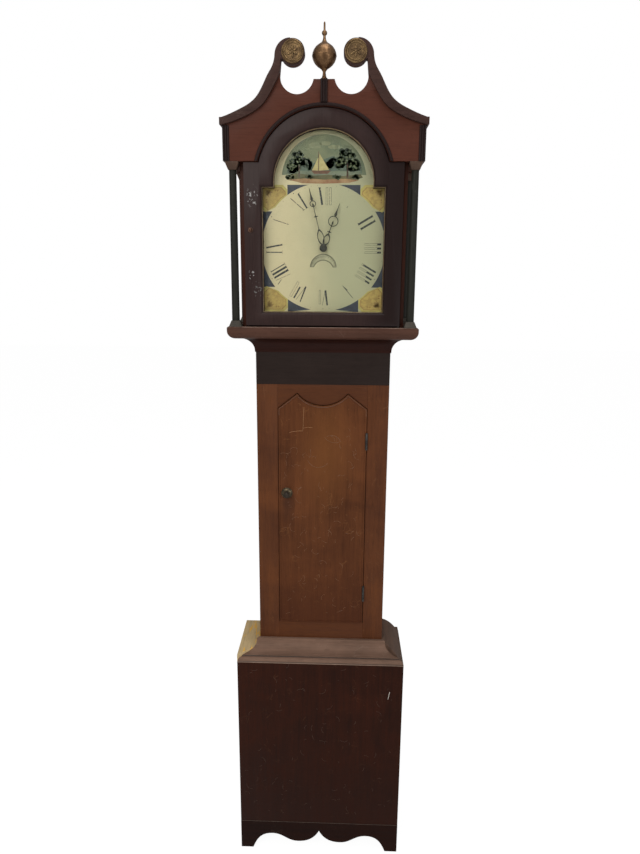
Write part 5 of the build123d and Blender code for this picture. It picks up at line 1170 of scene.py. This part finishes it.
class CLOCK_OT_movement(bpy.types.Operator):
    """Dress the movement: wheels, cage, bell, anchor, pendulum and weights"""
    bl_idname = "clock.movement"
    bl_label = "Movement"

    def execute(self, context):
        brass = metal("wheel_brass", (0.62, 0.42, 0.17), (0.32, 0.21, 0.09), rough=(0.28, 0.5))
        steel = metal("bright_steel", (0.42, 0.41, 0.40), (0.20, 0.18, 0.16), rough=(0.3, 0.55))
        paint_nodes(brass, "great_wheel", "second_wheel", "escape_wheel", "cannon_wheel", "hour_wheel",
                    "strike_great_wheel", "weight_pulley", "pendulum_cock")
        paint_nodes(steel, "anchor", "hammer", "bell_stand")
        paint_nodes(MATERIALS["dark_iron"], "movement_cage", "pendulum_rod")
        self.bell()
        self.bob()
        self.weights()
        return {"FINISHED"}

    def bell(self):
        """A cast bell with a thickened lip."""
        low, high, (x, y, _) = box_frame("bell")
        radius, tall = (high[0] - low[0]) / 2, high[2] - low[2]
        bronze = metal("bell_bronze", (0.48, 0.36, 0.17), (0.22, 0.16, 0.08), rough=(0.3, 0.5))
        outer = [(radius * out, tall * up) for out, up in (
            (0.93, 0.30), (0.85, 0.55), (0.68, 0.78), (0.42, 0.94), (0.18, 1.0))]
        inner = [(radius * out, tall * up) for out, up in (
            (0.39, 0.87), (0.63, 0.71), (0.79, 0.50), (0.87, 0.28))]
        outline = ([(radius, 0.0), (radius, 0.0015), (radius * 0.965, 0.0045)] + outer
                   + [(0.0025, tall), (0.0025, tall - 0.0025), (radius * 0.17, tall - 0.0025)] + inner
                   + [(radius * 0.90, 0.0045), (radius * 0.944, 0.0), (radius, 0.0)])
        piece = lathe("cast_bell", outline, (x, y, low[2]), "bell", bronze, (0, 0, 1), 64)
        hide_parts("bell")

    def bob(self):
        """A lens-shaped bob in brass, standing for an iron bob with a brass face."""
        low, high, centre = box_frame("pendulum_bob")
        radius, half = (high[0] - low[0]) / 2, (high[1] - low[1]) / 2
        outline = [(radius * step / 12, half - (half - 0.0025) * (step / 12) ** 2) for step in range(13)]
        back = [(r, -h) for r, h in outline[::-1]]
        brass = metal("bob_brass", (0.46, 0.31, 0.13), (0.16, 0.11, 0.055), rough=(0.3, 0.6))
        piece = lathe("lens_bob", outline + back, centre, "pendulum_bob", brass, steps=72)
        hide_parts("pendulum_bob")

    def weights(self):
        """Cast weights."""
        lead = metal("cast_lead", (0.14, 0.14, 0.145), (0.07, 0.068, 0.066), rough=(0.5, 0.75), metallic=0.7)
        paint_nodes(lead, "driving_weight", "ring_weight")


# Rope

def rope_strands(name, route, replaced, material):
    """Lay three strands round a route, in the place of a CAD node."""
    curve = bpy.data.curves.new(name, "CURVE")
    curve.dimensions = "3D"
    curve.resolution_u = 10
    spline = curve.splines.new("BEZIER")
    spline.bezier_points.add(len(route) - 1)
    for point, (place, before, after) in zip(spline.bezier_points, route):
        point.handle_left_type = "FREE"
        point.handle_right_type = "FREE"
        point.co, point.handle_left, point.handle_right = place, before, after
    line = evaluated(name + "_route", curve)
    corners = [vertex.co.copy() for vertex in line.vertices]
    bpy.data.meshes.remove(line)
    places, travelled = [], [0.0]
    for first, second in zip(corners, corners[1:]):
        travelled.append(travelled[-1] + (second - first).length)
    spacing = 0.0035
    count = int(travelled[-1] / spacing)
    index = 0
    for step in range(count + 1):
        want = travelled[-1] * step / count
        while index < len(corners) - 2 and travelled[index + 1] < want:
            index += 1
        share = (want - travelled[index]) / max(travelled[index + 1] - travelled[index], 1e-9)
        places.append(corners[index].lerp(corners[index + 1], share))
    radius = sizes().rope
    twist = 2 * pi / 0.026
    runs = []
    for strand in range(3):
        run = []
        for step, place in enumerate(places):
            ahead = places[min(step + 1, count)] - places[max(step - 1, 0)]
            ahead.normalize()
            side = Vector((1, 0, 0)) if abs(ahead.x) < 0.7 else Vector((0, 1, 0))
            side = (side - ahead * side.dot(ahead)).normalized()
            other = ahead.cross(side)
            turn = travelled[-1] * step / count * twist + 2 * pi * strand / 3
            run.append(tuple(place + (side * cos(turn) + other * sin(turn)) * radius * 0.46))
        runs.append(run)
    piece = wire(name, runs, radius * 0.52, replaced, material)
    piece.parent = None
    piece.matrix_world = Matrix.Identity(4)
    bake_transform(piece)
    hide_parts(replaced)


class CLOCK_OT_rope(bpy.types.Operator):
    """Lay the rope: the run that carries the weight and the slack run"""
    bl_idname = "clock.rope"
    bl_label = "Rope"

    def execute(self, context):
        made, tree, shader, place = new_material("hemp_rope")
        fibre = noise(tree, place, 900.0, 3.0, 0.7)
        tone = mix(tree, ramp(tree, fibre, 0.35, 0.65), (0.42, 0.32, 0.19), (0.24, 0.17, 0.09))
        feed(tree, shader, {"Base Color": tone, "Roughness": 0.9}, fibre, 0.5, 0.0004)
        low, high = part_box("drive_rope")
        radius = sizes().rope
        left, right = low[0] + radius, high[0] - radius
        front, back = low[1] + radius, high[1] - radius
        middle = (front + back) / 2
        wheel_z = high[2] - radius - right
        small = (back - front) / 2
        bottom_z = low[2] + radius + small
        pull = 0.5523

        def arch(x_from, x_to, y, z, size):
            """Three points over a wheel that turns about a front-to-back axis."""
            turn = 1 if x_to > x_from else -1
            return [((x_from, y, z), (x_from, y, z - 0.01), (x_from, y, z + size * pull)),
                    ((0, y, z + size), (-turn * size * pull, y, z + size), (turn * size * pull, y, z + size)),
                    ((x_to, y, z), (x_to, y, z + size * pull), (x_to, y, z - 0.01))]

        def bight(x, y_from, y_to, z, size):
            """Three points round the bottom of a hanging loop."""
            turn = 1 if y_to > y_from else -1
            return [((x, y_from, z), (x, y_from, z + 0.01), (x, y_from, z - size * pull)),
                    ((x, middle, z - size), (x, middle - turn * size * pull, z - size),
                     (x, middle + turn * size * pull, z - size)),
                    ((x, y_to, z), (x, y_to, z - size * pull), (x, y_to, z + 0.01))]

        weight_run = (arch(right, left, front, wheel_z, right)
                      + bight(left, front, back, bottom_z, small)
                      + arch(left, right, back, wheel_z, right))
        rope_strands("drive_rope_strands", weight_run,
                     "drive_rope", made)
        low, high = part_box("slack_rope")
        slack_z = low[2] + radius + small
        top = ((right, front, high[2]), (right, front, high[2] + 0.01), (right, front, high[2] - 0.01))
        last = ((right, back, high[2]), (right, back, high[2] - 0.01), (right, back, high[2] + 0.01))
        rope_strands("slack_rope_strands", [top] + bight(right, front, back, slack_z, small) + [last],
                     "slack_rope", made)
        return {"FINISHED"}


# Stage

class CLOCK_OT_stage(bpy.types.Operator):
    """Set the floor, the white background, the lamps and the camera"""
    bl_idname = "clock.stage"
    bl_label = "Stage"

    def execute(self, context):
        self.floor()
        self.world()
        self.lamps()
        self.camera(context)
        context.scene.view_settings.view_transform = "Standard"
        return {"FINISHED"}

    def floor(self):
        """A pale floor that reads as white and keeps the clock's shadow."""
        shape = bmesh.new()
        bmesh.ops.create_grid(shape, x_segments=1, y_segments=1, size=FLOOR_SIZE)
        mesh = bpy.data.meshes.new("studio_floor")
        shape.to_mesh(mesh)
        shape.free()
        ground = link("studio_floor", mesh)
        made = bpy.data.materials.new("studio_floor")
        made.use_nodes = True
        tree = made.node_tree
        tree.nodes.clear()
        plain = node(tree, "ShaderNodeBsdfDiffuse", {"Color": (FLOOR_TONE, FLOOR_TONE, FLOOR_TONE, 1.0)})
        bright = node(tree, "ShaderNodeEmission", {"Color": (1.0, 1.0, 1.0, 1.0), "Strength": 1.12})
        seen = node(tree, "ShaderNodeLightPath", {})
        share = times(tree, seen.outputs["Is Camera Ray"], 0.84)
        both = node(tree, "ShaderNodeMixShader", {0: share, 1: plain.outputs[0], 2: bright.outputs[0]})
        node(tree, "ShaderNodeOutputMaterial", {0: both.outputs[0]})
        mesh.materials.append(made)

    def world(self):
        """White where it is seen, softer where it lights."""
        sky = bpy.data.worlds.new("studio_white")
        bpy.context.scene.world = sky
        sky.use_nodes = True
        tree = sky.node_tree
        tree.nodes.clear()
        seen = node(tree, "ShaderNodeLightPath", {})
        direct = math(tree, "MAXIMUM", seen.outputs["Is Camera Ray"], seen.outputs["Is Transmission Ray"])
        strength = math(tree, "MULTIPLY_ADD", direct, 0.62, 0.38)
        light = node(tree, "ShaderNodeBackground", {"Color": (1.0, 1.0, 1.0, 1.0), "Strength": strength})
        node(tree, "ShaderNodeOutputWorld", {0: light.outputs[0]})

    def lamps(self):
        """Three large soft lamps."""
        level = view().light
        rows = (("key_lamp", (-1.5, -2.8, 2.6), (0, 0, 1.25), 2.2, 52.0, (1.0, 0.975, 0.94)),
                ("fill_lamp", (2.2, -2.2, 1.6), (0, 0, 1.1), 2.0, 24.0, (0.96, 0.98, 1.0)),
                ("top_lamp", (0.3, -0.6, 4.0), (0, 0, 1.5), 1.8, 26.0, (1.0, 1.0, 1.0)))
        for name, place, aim, size, power, tone in rows:
            lamp = bpy.data.lights.new(name, "AREA")
            lamp.size = size
            lamp.energy = power * level
            lamp.color = tone
            holder = link(name, lamp)
            holder.location = place
            holder.rotation_euler = (Vector(aim) - Vector(place)).to_track_quat("-Z", "Y").to_euler()

    def camera(self, context):
        """The camera stands close, a little to the right, and looks down."""
        chosen = view()
        lens = bpy.data.cameras.new("clock_camera")
        lens.lens = chosen.lens
        lens.sensor_width = 36.0
        holder = link("clock_camera", lens)
        holder.matrix_world = (Matrix.Translation((chosen.camera_side, -chosen.camera_distance,
                                                   chosen.camera_height))
                               @ Matrix.Rotation(chosen.yaw, 4, "Z")
                               @ Matrix.Rotation(pi / 2 - chosen.pitch, 4, "X")
                               @ Matrix.Rotation(chosen.roll, 4, "Z"))
        context.scene.camera = holder


OPERATORS = (CLOCK_OT_stage, CLOCK_OT_case, CLOCK_OT_trunk_door, CLOCK_OT_hood, CLOCK_OT_hood_door,
             CLOCK_OT_dial, CLOCK_OT_arch, CLOCK_OT_hands, CLOCK_OT_movement, CLOCK_OT_rope)


class CLOCK_PT_panel(bpy.types.Panel):
    """Lists the clock's parts and their settings"""
    bl_idname = "CLOCK_PT_panel"
    bl_label = "Longcase Clock"
    bl_space_type = "VIEW_3D"
    bl_region_type = "UI"
    bl_category = "Clock"

    def draw(self, context):
        layout = self.layout
        for operator in OPERATORS:
            layout.operator(operator.bl_idname, text=operator.bl_label)
        for settings in (context.scene.clock_sizes, context.scene.clock_colours, context.scene.clock_view):
            box = layout.box()
            for name in settings.bl_rna.properties.keys():
                if name not in ("rna_type", "name"):
                    box.prop(settings, name)


CLASSES = (ClockColours, ClockSizes, ClockView) + OPERATORS + (CLOCK_PT_panel,)


def register():
    for item in CLASSES:
        bpy.utils.register_class(item)
    bpy.types.Scene.clock_colours = bpy.props.PointerProperty(type=ClockColours)
    bpy.types.Scene.clock_sizes = bpy.props.PointerProperty(type=ClockSizes)
    bpy.types.Scene.clock_view = bpy.props.PointerProperty(type=ClockView)


def unregister():
    del bpy.types.Scene.clock_view
    del bpy.types.Scene.clock_sizes
    del bpy.types.Scene.clock_colours
    for item in reversed(CLASSES):
        bpy.utils.unregister_class(item)


def main():
    """Register the classes and dress the clock."""
    register()
    for operator in OPERATORS:
        family, name = operator.bl_idname.split(".")
        getattr(getattr(bpy.ops, family), name)()


if __name__ == "__main__":
    main()
